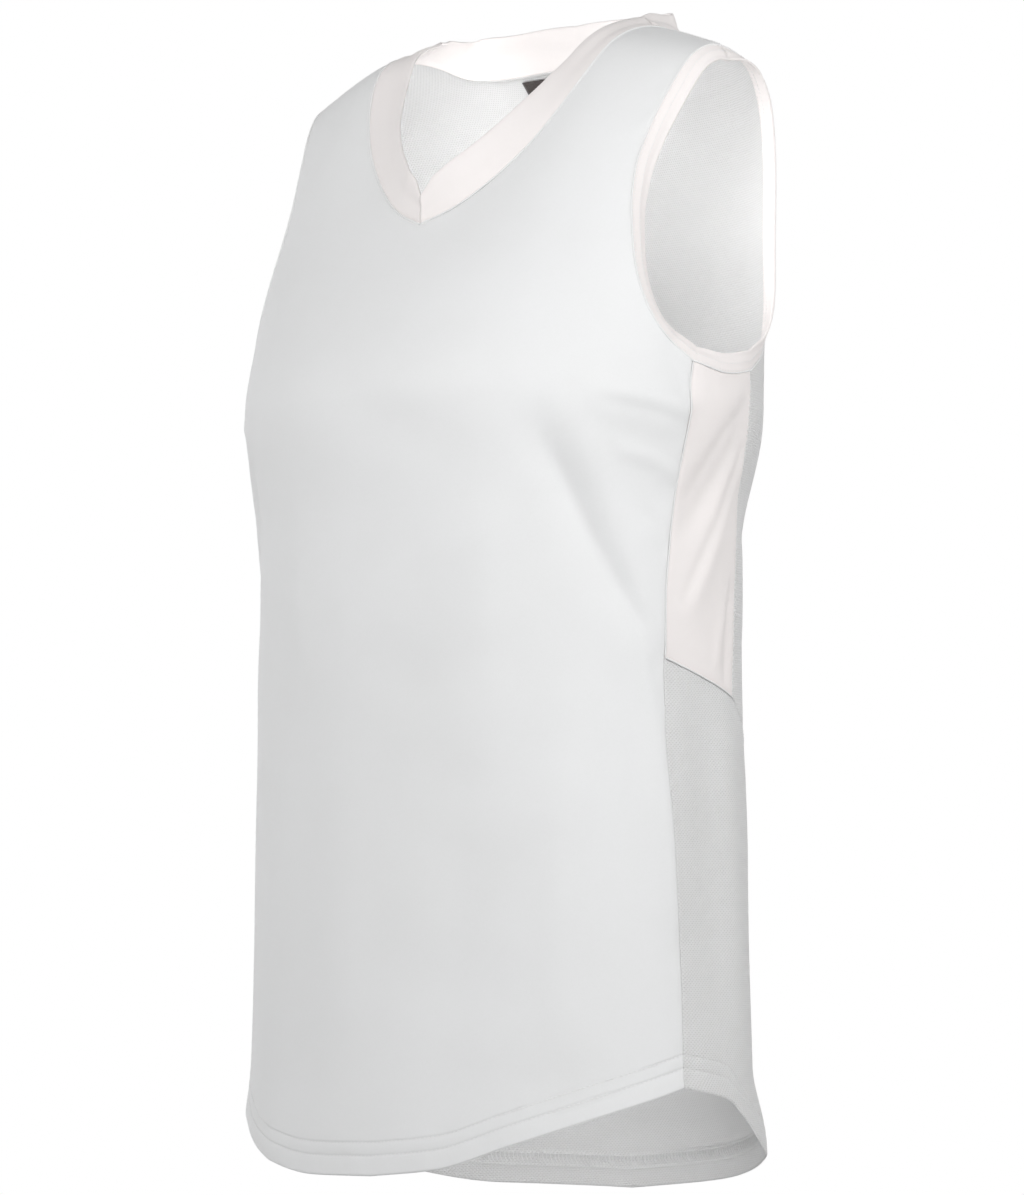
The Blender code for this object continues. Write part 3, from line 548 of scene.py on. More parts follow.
def low_seam(rows, cells, first_step=0.0):
    return Seam([place_low(*row) for row in rows], cells, first_step)


def shoulder_seam(back=False):
    """From the neck point to the armhole."""
    widths = [NECK_POINT_X + (SHOULDER_END_X - NECK_POINT_X) * k / SHOULDER_CELLS
              for k in range(SHOULDER_CELLS + 1)]
    return Line([(from_front_view(x, BUST_Z, back)[0], SHOULDER_HEIGHT) for x in widths],
                [1] * SHOULDER_CELLS)


def armhole(back):
    """From the underarm up to the shoulder seam's end."""
    rows = BACK_ARMHOLE if back else FRONT_ARMHOLE
    places = [from_front_view(width, height, back) for height, width in reversed(rows)]
    places[0] = place_low(*UNDERARM_SEAM[-1 if back else 0])
    places[-1] = tuple(shoulder_seam(back).places[-1])
    return Seam(places, ARMHOLE_CELLS)


def neckline(back):
    """From the centre to the neck point."""
    rows = BACK_NECKLINE if back else FRONT_NECKLINE
    places = [from_front_view(x, z, back) for x, z in rows]
    places[-1] = tuple(shoulder_seam(back).places[0])
    return Seam(places, BACK_NECK_CELLS if back else NECK_CELLS)


# ---------------------------------------------------------------- panels as grids of places

def cell_numbers(cells, splits, start_seam=False, end_seam=False, hemmed=False):
    """Where the sheet's lines cross a seam, with finer cells at what is sewn."""
    numbers = [np.linspace(0, cells, cells * splits + 1)]
    if start_seam:
        numbers.append(np.array(SEAM_STEPS))
    if end_seam:
        numbers.append(cells - np.array(SEAM_STEPS))
    if hemmed:
        for place in HEM_ROWS + (HEM_TURN + HEM_END,):
            numbers.append((place + np.array(ROW_STEPS)) / HEM_TURN)
    numbers = np.unique(np.concatenate(numbers).round(4))
    wide_enough = np.diff(numbers, prepend=-1.0) > 0.006
    wide_enough[-1] = True
    return numbers[wide_enough]


def coons(bottom, top, inner, outer, columns, rows):
    """Places of a four-sided panel at its columns and rows, filled in from its four edges."""
    u = (columns - columns[0]) / (columns[-1] - columns[0])
    v = (rows - rows[0]) / (rows[-1] - rows[0])
    u, v = u[None, :, None], v[:, None, None]
    corner = [[bottom[0], bottom[-1]], [top[0], top[-1]]]
    between_sides = (1 - u) * inner[:, None] + u * outer[:, None]
    between_ends = (1 - v) * bottom[None] + v * top[None]
    corners = ((1 - v) * ((1 - u) * corner[0][0] + u * corner[0][1])
               + v * ((1 - u) * corner[1][0] + u * corner[1][1]))
    return between_sides + between_ends - corners


def guide(inner, outer, bottom, top):
    """Places up the panel to the neck point, which keep the cells there from crossing."""
    shares = [(side[:, 1] - side[0, 1]) / (side[-1, 1] - side[0, 1]) for side in (inner, outer)]
    share = (GUIDE_PULL * shares[1] + (1 - GUIDE_PULL) * shares[0])[:, None]
    return bottom + (top - bottom) * share


def shaped(bottom, top, inner, outer, neck_column, columns, rows):
    """A panel with a corner in its top edge, at the neck point."""
    low, high, inside, outside = bottom.at(columns), top.at(columns), inner.at(rows), outer.at(rows)
    split = int(np.argmin(np.abs(columns - neck_column)))
    middle = guide(inside, outside, low[split], high[split])
    neck_part = coons(low[:split + 1], high[:split + 1], inside, middle, columns[:split + 1], rows)
    shoulder_part = coons(low[split:], high[split:], middle, outside, columns[split:], rows)
    return np.concatenate((neck_part, shoulder_part[:, 1:]), axis=1)


def both_halves(left, right, centre):
    """The left half's places after the right half's, mirrored about the centre's angle."""
    mirrored = right[:, :0:-1].copy()
    mirrored[..., 0] = 2 * centre - mirrored[..., 0]
    return np.concatenate((mirrored, left), axis=1)


def front_half(hem_rows):
    top = Joined(neckline(False), shoulder_seam())
    bottom = low_seam(hem_rows, top.cells)
    outer = Joined(low_seam(SIDE_SEAM, SIDE_CELLS, HEM_TURN),
                   low_seam(INSERT_FRONT_SEAM, INSERT_CELLS), armhole(False))
    hem, neck = hem_rows[0][1], neckline(False).at(0)[1]
    inner = Line([(0.0, height) for height in (hem, hem + HEM_TURN, WAIST_ROW, BUST_ROW, neck)],
                 (1, SIDE_CELLS - 1, INSERT_CELLS, ARMHOLE_CELLS))
    columns = cell_numbers(top.cells, COLUMN_SPLITS, end_seam=True)
    rows = cell_numbers(outer.cells, ROW_SPLITS, True, True, hemmed=True)
    return shaped(bottom, top, inner, outer, NECK_CELLS, columns, rows)


def front_places():
    return both_halves(front_half(FRONT_HEM_LEFT), front_half(FRONT_HEM_RIGHT), 0.0)


def back_upper_places():
    top = Joined(neckline(True), shoulder_seam(True))
    bottom = Backwards(low_seam(BACK_YOKE_SEAM, top.cells))
    outer = Joined(low_seam(INSERT_BACK_SEAM, INSERT_CELLS), armhole(True))
    low, neck = BACK_YOKE_SEAM[-1][1], neckline(True).at(0)[1]
    inner = Line([(180.0, height) for height in (low, BACK_BUST_ROW, neck)],
                 (INSERT_CELLS, ARMHOLE_CELLS))
    columns = cell_numbers(top.cells, COLUMN_SPLITS, end_seam=True)
    rows = cell_numbers(outer.cells, ROW_SPLITS, start_seam=True, end_seam=True)
    half = shaped(bottom, top, inner, outer, BACK_NECK_CELLS, columns, rows)
    return both_halves(half, half, 180.0)[:, ::-1]


def back_lower_half(hem_rows):
    yoke_cells = BACK_NECK_CELLS + SHOULDER_CELLS
    top = Backwards(Joined(low_seam(INSERT_HEM_SEAM, INSERT_WIDTH_CELLS),
                           low_seam(BACK_YOKE_SEAM, yoke_cells)))
    bottom = Backwards(low_seam(hem_rows, top.cells))
    hem, seam = hem_rows[-1][1], BACK_YOKE_SEAM[-1][1]
    inner = Line([(180.0, height) for height in (hem, hem + HEM_TURN, seam)],
                 (1, SIDE_CELLS - 1))
    columns = cell_numbers(top.cells, COLUMN_SPLITS, end_seam=True)
    rows = cell_numbers(SIDE_CELLS, ROW_SPLITS, True, True, hemmed=True)
    side = low_seam(SIDE_SEAM, SIDE_CELLS, HEM_TURN)
    return coons(bottom.at(columns), top.at(columns), inner.at(rows), side.at(rows),
                 columns, rows)


def back_lower_places():
    left, right = back_lower_half(BACK_HEM_LEFT), back_lower_half(BACK_HEM_RIGHT)
    return both_halves(left, right, 180.0)[:, ::-1]


def insert_places(side):
    columns = cell_numbers(INSERT_WIDTH_CELLS, ROW_SPLITS, start_seam=True, end_seam=True)
    rows = cell_numbers(INSERT_CELLS, ROW_SPLITS, start_seam=True, end_seam=True)
    half = coons(low_seam(INSERT_HEM_SEAM, INSERT_WIDTH_CELLS).at(columns),
                 low_seam(UNDERARM_SEAM, INSERT_WIDTH_CELLS).at(columns),
                 low_seam(INSERT_FRONT_SEAM, INSERT_CELLS).at(rows),
                 low_seam(INSERT_BACK_SEAM, INSERT_CELLS).at(rows), columns, rows)
    half[..., 0] *= side
    return half if side > 0 else half[:, ::-1]


# ---------------------------------------------------------------- sheets of cloth

def grain_tables():
    """How far each place lies from the centre front and the centre back, and up the form."""
    angles = np.arange(0.0, 180.5, 1.0)
    heights = np.linspace(RINGS[0][0], SHOULDER_HEIGHT, 186)
    points = bare_form(np.stack(np.meshgrid(angles, heights), axis=-1))
    return heights, travel(points, 1), travel(points, 0)


def grain(places, from_back=False):
    """The cloth's own flat coordinates in metres, across and up, for its weave."""
    heights, round_way, up_way = GRAIN
    centre = 180.0 if from_back else 0.0
    away = places[..., 0] - centre
    angle = np.abs(centre - np.abs(away)) if from_back else np.abs(away)
    column = np.clip(angle, 0.0, 179.999)
    row = (places[..., 1] - heights[0]) / (heights[1] - heights[0])
    row = np.clip(row, 0, len(heights) - 1.001)
    i, j = column.astype(int), row.astype(int)
    s, t = column - i, row - j

    def read(table):
        low = table[j, i] * (1 - s) + table[j, i + 1] * s
        high = table[j + 1, i] * (1 - s) + table[j + 1, i + 1] * s
        return low * (1 - t) + high * t

    across = read(round_way)
    if from_back:
        across = round_way[j, -1] * (1 - t) + round_way[j + 1, -1] * t - across
    return np.stack((np.sign(away) * across, read(up_way)), axis=-1)


def edge_distances(points):
    """Distance of each grid point from the bottom, top, start and end edge, along the grid."""
    bottom, start = travel(points, 0), travel(points, 1)
    return {"bottom": bottom, "top": bottom[-1] - bottom,
            "start": start, "end": start[:, -1:] - start}


def rolled_in(distance, depth, reach):
    """How far a rounded edge drops at a distance from it."""
    share = np.clip(1 - distance / reach, 0.0, 1.0)
    return depth * (1 - np.sqrt(1 - share ** 2 * 0.96)) / 0.8


def puckers(distances, seams, seed):
    """Small ripples that run in from the sewn edges and die away."""
    total = np.zeros_like(distances["bottom"])
    for number, edge in enumerate(seams):
        along = distances["start" if edge in ("bottom", "top") else "bottom"]
        away = distances[edge]
        wave = uneven(along + 0.35 * away, PUCKER_PITCH, seed + number)
        reach = PUCKER_REACH * (1 + 0.5 * uneven(along, 0.031, seed + number + 40))
        total += PUCKER_LIFT * wave * ease(away / 0.003) * ease(1 - away / reach)
    return total


def put(name, data):
    """An object in the scene that shows a mesh, a light or a camera."""
    thing = bpy.data.objects.new(name, data)
    bpy.context.scene.collection.objects.link(thing)
    return thing


def mesh_piece(name, points, faces, flat_way, painted_seam_shade, material):
    """A mesh piece whose points carry their cloth_grain coordinates and their share of painted seam
    shade.
    """
    mesh = bpy.data.meshes.new(name)
    mesh.from_pydata(points.tolist(), [], faces)
    mesh.shade_smooth()
    mesh.materials.append(material)
    corners = np.zeros(len(mesh.loops), dtype=np.int32)
    mesh.loops.foreach_get("vertex_index", corners)
    layer = mesh.uv_layers.new(name="cloth_grain")
    layer.data.foreach_set("uv", flat_way[corners].astype(np.float32).reshape(-1))
    mask = mesh.attributes.new("painted_seam_shade", "FLOAT", "POINT")
    mask.data.foreach_set("value", painted_seam_shade.astype(np.float32))
    return put(name, mesh)


def sheet_solid(name, outer, inner, flat_way, painted_seam_shade, material, closed=False):
    """A closed thin sheet between the points of its outer and its inner side."""
    rows, columns = outer.shape[:2]
    count = rows * columns
    numbers = np.arange(count).reshape(rows, columns)
    if closed:
        numbers = np.concatenate((numbers, numbers[:, :1]), axis=1)
    low, high = numbers[:-1], numbers[1:]
    faces = np.stack((low[:, :-1], low[:, 1:], high[:, 1:], high[:, :-1]), axis=-1).reshape(-1, 4)
    rims = [np.stack((numbers[0, 1:], numbers[0, :-1]), axis=-1),
            np.stack((numbers[-1, :-1], numbers[-1, 1:]), axis=-1)]
    if not closed:
        rims.append(np.stack((numbers[:-1, 0], numbers[1:, 0]), axis=-1))
        rims.append(np.stack((numbers[1:, -1], numbers[:-1, -1]), axis=-1))
    rim = np.concatenate(rims)
    rim_faces = np.stack((rim[:, 0], rim[:, 1], rim[:, 1] + count, rim[:, 0] + count), axis=-1)
    all_faces = np.concatenate((faces, faces[:, ::-1] + count, rim_faces))
    points = np.concatenate((outer.reshape(-1, 3), inner.reshape(-1, 3)))
    return mesh_piece(name, points, all_faces.tolist(), np.tile(flat_way.reshape(-1, 2), (2, 1)),
                      np.tile(painted_seam_shade.reshape(-1), 2), material)


def stitch_dip(distance, rows):
    """How far rows of stitches, each at its own distance from an edge, pull the cloth in."""
    return sum(STITCH_DIP * np.exp(-((distance - row) / STITCH_DIP_REACH) ** 2) for row in rows)


class Sheet:
    """A finished sheet of cloth, with the grid that thread is laid on."""

    def __init__(self, piece, outer, inner, distances):
        self.piece, self.outer, self.inner, self.distances = piece, outer, inner, distances

    def line(self, edge, distance, inside=False, start=0, stop=None):
        """The line at a distance from an edge, from one column or row of the grid to another."""
        points = self.inner if inside else self.outer
        faces = unit(np.cross(np.gradient(points, axis=1), np.gradient(points, axis=0)))
        if inside:
            faces = -faces
        away = self.distances[edge]
        if edge in ("start", "end"):
            points, faces, away = (np.swapaxes(table, 0, 1) for table in (points, faces, away))
        if edge in ("top", "end"):
            points, faces, away = points[::-1], faces[::-1], away[::-1]
        low = np.argmax(away > distance, axis=0) - 1
        columns = np.arange(away.shape[1])
        share = (distance - away[low, columns]) / (away[low + 1, columns] - away[low, columns])
        share = share[:, None]
        on_line = [(1 - share) * table[low, columns] + share * table[low + 1, columns]
                   for table in (points, faces)]
        return SewnLine(on_line[0][start:stop], unit(on_line[1][start:stop]))

    def landed(self, points, out, reach=0.006):
        """The line where points meet the side of the cloth that faces along out."""
        mesh = self.piece.data
        tree = BVHTree.FromPolygons([corner.co for corner in mesh.vertices],
                                    [face.vertices for face in mesh.polygons])
        hits = [tree.ray_cast(Vector(point + way * reach), Vector(-way), 2 * reach)
                for point, way in zip(points, out)]
        hits = [hit for hit in hits if hit[0] is not None]
        return SewnLine(np.array([hit[0] for hit in hits]), np.array([hit[1] for hit in hits]))


class SewnLine:
    """A line on the cloth: its points, and how the cloth faces there."""

    def __init__(self, points, faces):
        self.points, self.faces = points, faces
        self.travelled = travel(points)
        self.length = self.travelled[-1]

    def at(self, distances):
        """Points on the line and how the cloth faces, at distances from its start."""
        points, faces = (between(distances, self.travelled, table)
                         for table in (self.points, self.faces))
        return points, unit(faces)


def panel(name, places, seams, material, hemmed=False, from_back=False, seed=0):
    """A panel of cloth on the form, rolled in at its seams and turned up at its hem."""
    bare = bare_form(places)
    out = bare_normal(places)
    lift = fold_depth(bare, FOLD_RUNS) + fold_depth(bare, CREASE_RUNS)
    distances = edge_distances(bare)
    lift += puckers(distances, seams, seed)
    nearest = np.minimum.reduce([distances[edge] for edge in seams])
    lift -= rolled_in(nearest, SEAM_DIP, SEAM_DIP_REACH)
    slanted = distances["start"] + 0.4 * distances["bottom"]
    lift += CLOTH_WAVE * uneven(slanted, CLOTH_WAVE_PITCH, seed + 7)
    wall = np.full(lift.shape, KNIT_WALL)
    if hemmed:
        from_hem = distances["bottom"]
        lift -= stitch_dip(from_hem, HEM_ROWS)
        wave = HEM_WAVE * uneven(distances["start"], HEM_WAVE_PITCH, seed + 9)
        lift += wave * ease(1 - from_hem / HEM_WAVE_REACH)
        wall += (HEM_WALL - KNIT_WALL) * ease((HEM_TURN + HEM_END - from_hem) / HEM_THINS)
        fold = rolled_in(from_hem, HEM_WALL / 2, HEM_ROUND)
        lift -= fold
        wall -= 2 * fold
    outer = bare + out * lift[..., None]
    inner = outer - normal(places) * wall[..., None]
    # Painted shade: the panel's colour is darkened near its seams.
    painted_seam_shade = ease(1 - nearest / SEAM_SHADE_REACH)
    piece = sheet_solid(name, outer, inner, grain(places, from_back), painted_seam_shade, material)
    return Sheet(piece, outer, inner, distances)


# ---------------------------------------------------------------- folded strips

def band_frames(place_at, cell_numbers_here, total):
    """Points on a closed seam, the way along it and the form's normal there."""
    def point_at(numbers):
        return form(place_at(np.mod(numbers, total)))
    points = point_at(cell_numbers_here)
    along = unit(point_at(cell_numbers_here + 1) - point_at(cell_numbers_here - 1))
    return points, along, normal(place_at(np.mod(cell_numbers_here, total)))


def band_sheet(piece, outer, inner, widths, closed=False):
    """A strip as a sheet whose only edge for sewing is its seam."""
    if closed:
        outer, inner = (np.concatenate((table, table[:, :2]), axis=1) for table in (outer, inner))
    away = np.repeat(widths[:, None], outer.shape[1], axis=1)
    return Sheet(piece, outer, inner, {"bottom": away, "top": away[-1] - away})


def armhole_place_at(side):
    """Places round an armhole by cell number, from the shoulder down the front and round."""
    loop = Joined(Backwards(armhole(False)), low_seam(UNDERARM_SEAM, INSERT_WIDTH_CELLS),
                  armhole(True))

    def place_at(numbers):
        places = loop.at(numbers)
        places[..., 0] *= side
        return places
    return place_at, loop.cells


def binding(name, side, material):
    """A folded strip round the armhole, on from the panels' edge and turned in a little."""
    place_at, total = armhole_place_at(side)
    numbers = np.arange(0, total, 1 / TRIM_SPLITS)
    if side < 0:
        numbers = numbers[::-1]
    points, along, out = band_frames(place_at, numbers, total)
    along = along * side
    shares = np.array((0.0, 0.03, 0.10, 0.20, 0.32, 0.45, 0.58, 0.70, 0.82, 0.90, 0.95, 0.98, 1.0))
    outer, inner, flat_way = [], [], []
    travelled = travel(points)
    across = unit(np.cross(out, along))
    place, last = points.copy(), 0.0
    full_lean = np.radians(through(BINDING_LEANS, 1, numbers))[:, None]
    for share in shares:
        lean = full_lean * (0.4 + 0.6 * float(ease(share / 0.7)))
        leaning = across * np.cos(lean) - out * np.sin(lean)
        turned = out * np.cos(lean) + across * np.sin(lean)
        place = place + leaning * BINDING_WIDTH * (share - last)
        last = share
        crown = BINDING_CROWN * math.cos(share * 2 * math.pi * 2) - BINDING_SINK
        drop = float(rolled_in(BINDING_WIDTH * (1 - share), BAND_WALL / 2, BAND_WALL / 2))
        dip = float(rolled_in(BINDING_WIDTH * share, SEAM_DIP, BINDING_DIP_REACH))
        outer.append(place + turned * (crown - drop - dip))
        inner.append(place - turned * (BAND_WALL - drop))
        up_strip = np.full_like(travelled, BINDING_WIDTH * share)
        flat_way.append(np.stack((travelled, up_strip), axis=-1))
    # Painted shade: the binding's colour is darkened near its seam.
    painted_seam_shade = ease(1 - shares * BINDING_WIDTH / TRIM_SEAM_SHADE_REACH)[:, None]
    painted_seam_shade = np.repeat(painted_seam_shade, len(numbers), axis=1)
    outer, inner = np.array(outer), np.array(inner)
    piece = sheet_solid(name, outer, inner, np.array(flat_way), painted_seam_shade, material, closed=True)
    return band_sheet(piece, outer, inner, shares * BINDING_WIDTH, closed=True)


def neck_place_at():
    """Places round the neck seam by cell number, from the centre front to the wearer's left."""
    front, back = neckline(False), neckline(True)
    half = Joined(front, Backwards(back))
    total = 2 * half.cells

    def place_at(numbers):
        mirrored = numbers > half.cells
        places = half.at(np.where(mirrored, total - numbers, numbers))
        places[..., 0] = np.where(mirrored, -places[..., 0], places[..., 0])
        return places
    return place_at, total


def neckband(name, start, cells, material):
    """A part of the neckband, which stands up from the neck seam and is folded at its top."""
    place_at, total = neck_place_at()
    numbers = start + np.linspace(0, cells, cells * TRIM_SPLITS + 1)
    points, along, out = band_frames(place_at, numbers, total)
    wrapped = np.mod(numbers, total)
    wrapped = np.where(wrapped > total / 2, wrapped - total, wrapped)
    cell = np.abs(wrapped)
    share = np.where(cell <= NECK_CELLS, cell / NECK_CELLS,
                     1 + (cell - NECK_CELLS) / BACK_NECK_CELLS)
    width, slant, lift = (through(NECKBAND, column, share) for column in (1, 2, 3))
    slant = np.radians(slant * np.sign(wrapped))[:, None]
    lift = np.radians(lift)[:, None]
    across = unit(np.cross(out, along))
    way = across * np.cos(slant) + along * np.sin(slant)
    way = unit(way * np.cos(lift) + out * np.sin(lift))
    face = unit(np.cross(along, way))
    travelled = travel(points)
    steps = np.array((0.0, 0.02, 0.06, 0.14, 0.26, 0.38, 0.50, 0.62, 0.74, 0.85, 0.93, 0.97, 0.99,
                      1.0))
    outer, inner, flat_way = [], [], []
    drift = uneven(travelled, BAND_DRIFT_PITCH, 30 + start)
    strength = 0.55 + 0.45 * uneven(travelled, BAND_STRENGTH_PITCH, 60 + start)
    for step in steps:
        ridge = BAND_FOLD * strength * np.sin(2 * math.pi * (1.5 * step + 0.22 * drift))
        ridge *= math.sin(math.pi * step)
        place = points + way * (step * width)[:, None] + face * ridge[:, None]
        drop = rolled_in(width * (1 - step), BAND_WALL / 2, BAND_WALL / 2)[:, None]
        dip = rolled_in(width * step, SEAM_DIP, BAND_DIP_REACH)[:, None]
        outer.append(place - face * (drop + dip))
        inner.append(place - face * (BAND_WALL - drop))
        flat_way.append(np.stack((travelled, step * width), axis=-1))
    # Painted shade: the band's colour is darkened near its seam.
    painted_seam_shade = ease(1 - steps * BAND_WIDTH / TRIM_SEAM_SHADE_REACH)[:, None]
    painted_seam_shade = np.repeat(painted_seam_shade, len(numbers), axis=1)
    outer, inner = np.array(outer), np.array(inner)
    piece = sheet_solid(name, outer, inner, np.array(flat_way), painted_seam_shade, material)
    return band_sheet(piece, outer, inner, steps * BAND_WIDTH)


def neck_label(name, material):
    """A plain ribbon label that hangs from the back neck seam, just inside the back panel."""
    columns, rows = LABEL_CELLS
    drop_from = BACK_NECKLINE[0][1] - LABEL_CLEAR
    down = np.linspace(1.0, 0.0, rows + 1)
    side = np.linspace(0.5, -0.5, columns + 1)
    places = np.array([[from_front_view(abs(LABEL_MIDDLE_X + LABEL_WIDTH * s),
                                        drop_from - LABEL_DROP * d, back=True) for s in side]
                       for d in down])
    places[..., 0] *= np.sign(LABEL_MIDDLE_X + LABEL_WIDTH * side)[None]
    points, face = form(places), normal(places)
    sag = LABEL_SAG * (down ** 2)[:, None] * (1 + 0.6 * uneven(side * LABEL_WIDTH, 0.02, 5))[None]
    clear = KNIT_WALL + LABEL_GAP + sag
    outer = points - face * clear[..., None]
    inner = outer - face * LABEL_THICK
    across, drop = np.meshgrid(side * LABEL_WIDTH, -down * LABEL_DROP)
    return sheet_solid(name, outer, inner, np.stack((across, drop), axis=-1),
                       np.zeros(across.shape), material)


# ---------------------------------------------------------------- thread

def tubes(name, runs, material):
    """Thin closed tubes as one piece. Each run has centres, ups and radii, a row for a tube."""
    sides = THREAD_SIDES
    points, faces, flat_way = [], [], []
    first = 0
    for centres, ups, radii in runs:
        count, rings = centres.shape[:2]
        along = unit(np.gradient(centres, axis=1))
        aside = unit(np.cross(along, ups))
        up = np.cross(aside, along)
        turns = np.arange(sides) * 2 * math.pi / sides
        ring = (np.cos(turns)[:, None] * aside[:, :, None]
                + np.sin(turns)[:, None] * up[:, :, None])
        points.append((centres[:, :, None] + ring * radii[..., None, None]).reshape(-1, 3))
        travelled = travel(centres, 1)
        round_way = radii[..., None] * turns
        long_way = np.broadcast_to(travelled[..., None], round_way.shape)
        flat_way.append(np.stack((long_way, round_way), axis=-1).reshape(-1, 2))
        numbers = first + np.arange(count * rings * sides).reshape(count, rings, sides)
        beside = np.roll(numbers, -1, axis=2)
        quads = np.stack((numbers[:, :-1], numbers[:, 1:], beside[:, 1:], beside[:, :-1]), axis=-1)
        faces += quads.reshape(-1, 4).tolist()
        faces += numbers[:, 0].tolist() + numbers[:, -1, ::-1].tolist()
        first += numbers.size
    points, flat_way = np.concatenate(points), np.concatenate(flat_way)
    return mesh_piece(name, points, faces, flat_way, np.zeros(len(points)), material)


def stitches(line, seed, pitch=STITCH_PITCH, length=STITCH_LENGTH, thread=THREAD):
    """A row of stitches on a line, each a short arch of thread that dives in at its ends."""
    starts = np.arange(0.5 * (pitch - length), line.length - length, pitch)
    starts = starts + 0.2 * (pitch - length) * uneven(starts, pitch, seed)
    share = np.linspace(0.0, 1.0, 5)
    centres, ups = line.at(starts[:, None] + share * length)
    arch = np.sin(math.pi * share)
    slant = np.cross(ups, np.gradient(centres, axis=1)) * 0.10
    centres = centres + ups * (thread * (1.5 * arch - 0.7))[:, None]
    centres = centres + slant * (2 * share - 1)[:, None]
    return centres, ups, np.broadcast_to(thread * (0.7 + 0.4 * arch), centres.shape[:2])


def roll(line, thick, sink=ROLL_SINK):
    """One long, slightly uneven tube on a line."""
    distances = np.linspace(0.0, line.length, max(8, int(line.length / 0.0012)))
    centres, ups = line.at(distances)
    radii = thick * (1 + 0.12 * uneven(distances, 0.0035, 8))
    radii[0] = radii[-1] = 0.3 * thick
    return (centres - ups * sink)[None], ups[None], radii[None]


def hem_loops(sheet, seed):
    """The looper thread inside a hem: bright crescents from row to row."""
    heights = np.linspace(LOOPS_FROM, LOOPS_TO, 8)
    lines = [sheet.line("bottom", height, inside=True) for height in heights]
    starts = np.arange(0.002, lines[0].length - 0.004, STITCH_PITCH)
    starts = starts + 0.12 * STITCH_PITCH * uneven(starts, STITCH_PITCH, seed)
    share = np.linspace(0.0, 1.0, len(heights))
    bulge = 0.62 * STITCH_PITCH * np.sin(math.pi * share) + 0.15 * STITCH_PITCH * share
    laid = [line.at(starts * line.length / lines[0].length + shift)
            for line, shift in zip(lines, bulge)]
    ups = np.stack([faces for _, faces in laid], axis=1)
    centres = np.stack([points for points, _ in laid], axis=1)
    lift = THREAD * (1.1 * np.sin(math.pi * share) + 0.3)
    radii = THREAD * (0.9 + 0.75 * np.sin(math.pi * share))
    return centres + ups * lift[:, None], ups, np.broadcast_to(radii, centres.shape[:2])


def beside_loop(sheet, place_at, total, distance, start, stop):
    """A line on a panel at a distance outside a closed seam, between two cell numbers."""
    numbers = np.arange(start, stop, 0.1)
    points, along, out = band_frames(place_at, numbers, total)
    return sheet.landed(points - np.cross(out, along) * distance, out)


def on_seam(place_at, numbers, total):
    """The line of a seam itself."""
    points, _, out = band_frames(place_at, numbers, total)
    return SewnLine(points, out)


def open_seam(rows, cells, side):
    """The line of a seam between two panels."""
    places = low_seam(rows, cells).at(np.linspace(0, cells, cells * 12 + 1))
    places[..., 0] *= side
    return SewnLine(form(places), normal(places))


# ---------------------------------------------------------------- finishes

def node_in(tree, kind, **settings):
    node = tree.nodes.new(kind)
    for label, value in settings.items():
        setattr(node, label, value)
    return node


def feed(tree, socket, value):
    """Links a socket to another one, or sets it to a plain value."""
    if isinstance(value, bpy.types.NodeSocket):
        tree.links.new(value, socket)
    else:
        socket.default_value = value


def math_of(tree, operation, *values, clamp=False):
    node = node_in(tree, "ShaderNodeMath", operation=operation, use_clamp=clamp)
    for socket, value in zip(node.inputs, values):
        feed(tree, socket, value)
    return node.outputs[0]


def blend_colour(tree, share, first, second):
    node = node_in(tree, "ShaderNodeMix", data_type="RGBA")
    feed(tree, node.inputs[0], share)
    feed(tree, node.inputs[6], first)
    feed(tree, node.inputs[7], second)
    return node.outputs[2]


def new_group(name, inputs, outputs):
    """An empty shader group with named inputs, each with its usual value, and named outputs."""
    tree = bpy.data.node_groups.new(name, "ShaderNodeTree")
    tree.interface.new_socket(name="Grain", in_out="INPUT", socket_type="NodeSocketVector")
    for label, value in inputs:
        socket = tree.interface.new_socket(name=label, in_out="INPUT",
                                           socket_type="NodeSocketFloat")
        socket.default_value = value
    for label in outputs:
        tree.interface.new_socket(name=label, in_out="OUTPUT", socket_type="NodeSocketFloat")
    return tree, tree.nodes.new("NodeGroupInput").outputs, tree.nodes.new("NodeGroupOutput").inputs


def placed(tree, group, grain_way, **values):
    """A group placed in a material with its own values. Its names are given with _ for space."""
    node = node_in(tree, "ShaderNodeGroup", node_tree=group)
    feed(tree, node.inputs["Grain"], grain_way)
    for label, value in values.items():
        feed(tree, node.inputs[label.replace("_", " ")], value)
    return node.outputs


def patches_group():
    """Soft cloudy patches of a given size, 0 to 1."""
    tree, given, put_out = new_group("soft_patches", (("Size", 0.05), ("Seed", 0.0)), ("Patch",))
    noise = node_in(tree, "ShaderNodeTexNoise", noise_dimensions="4D")
    feed(tree, noise.inputs["Vector"], given["Grain"])
    feed(tree, noise.inputs["W"], given["Seed"])
    feed(tree, noise.inputs["Scale"], math_of(tree, "DIVIDE", 1.0, given["Size"]))
    noise.inputs["Detail"].default_value = 2.0
    feed(tree, put_out["Patch"], noise.outputs["Fac"])
    return tree


def knit_group():
    """The small plaits of a knit: columns of V shaped stitches."""
    tree, given, put_out = new_group("knit_stitches", (("Column", 0.0006), ("Row", 0.0005)),
                                     ("Height",))
    apart = node_in(tree, "ShaderNodeSeparateXYZ")
    feed(tree, apart.inputs[0], given["Grain"])
    across = math_of(tree, "DIVIDE", apart.outputs["X"], given["Column"])
    up = math_of(tree, "DIVIDE", apart.outputs["Y"], given["Row"])
    wave = math_of(tree, "SINE", math_of(tree, "MULTIPLY", across, math.pi))
    rib = math_of(tree, "ABSOLUTE", wave)
    slant = math_of(tree, "ADD", up, math_of(tree, "PINGPONG", across, 0.5))
    loop = math_of(tree, "SINE", math_of(tree, "MULTIPLY", slant, 2 * math.pi))
    part = math_of(tree, "MULTIPLY_ADD", loop, 0.25, 0.75)
    feed(tree, put_out["Height"], math_of(tree, "MULTIPLY", rib, part))
    return tree


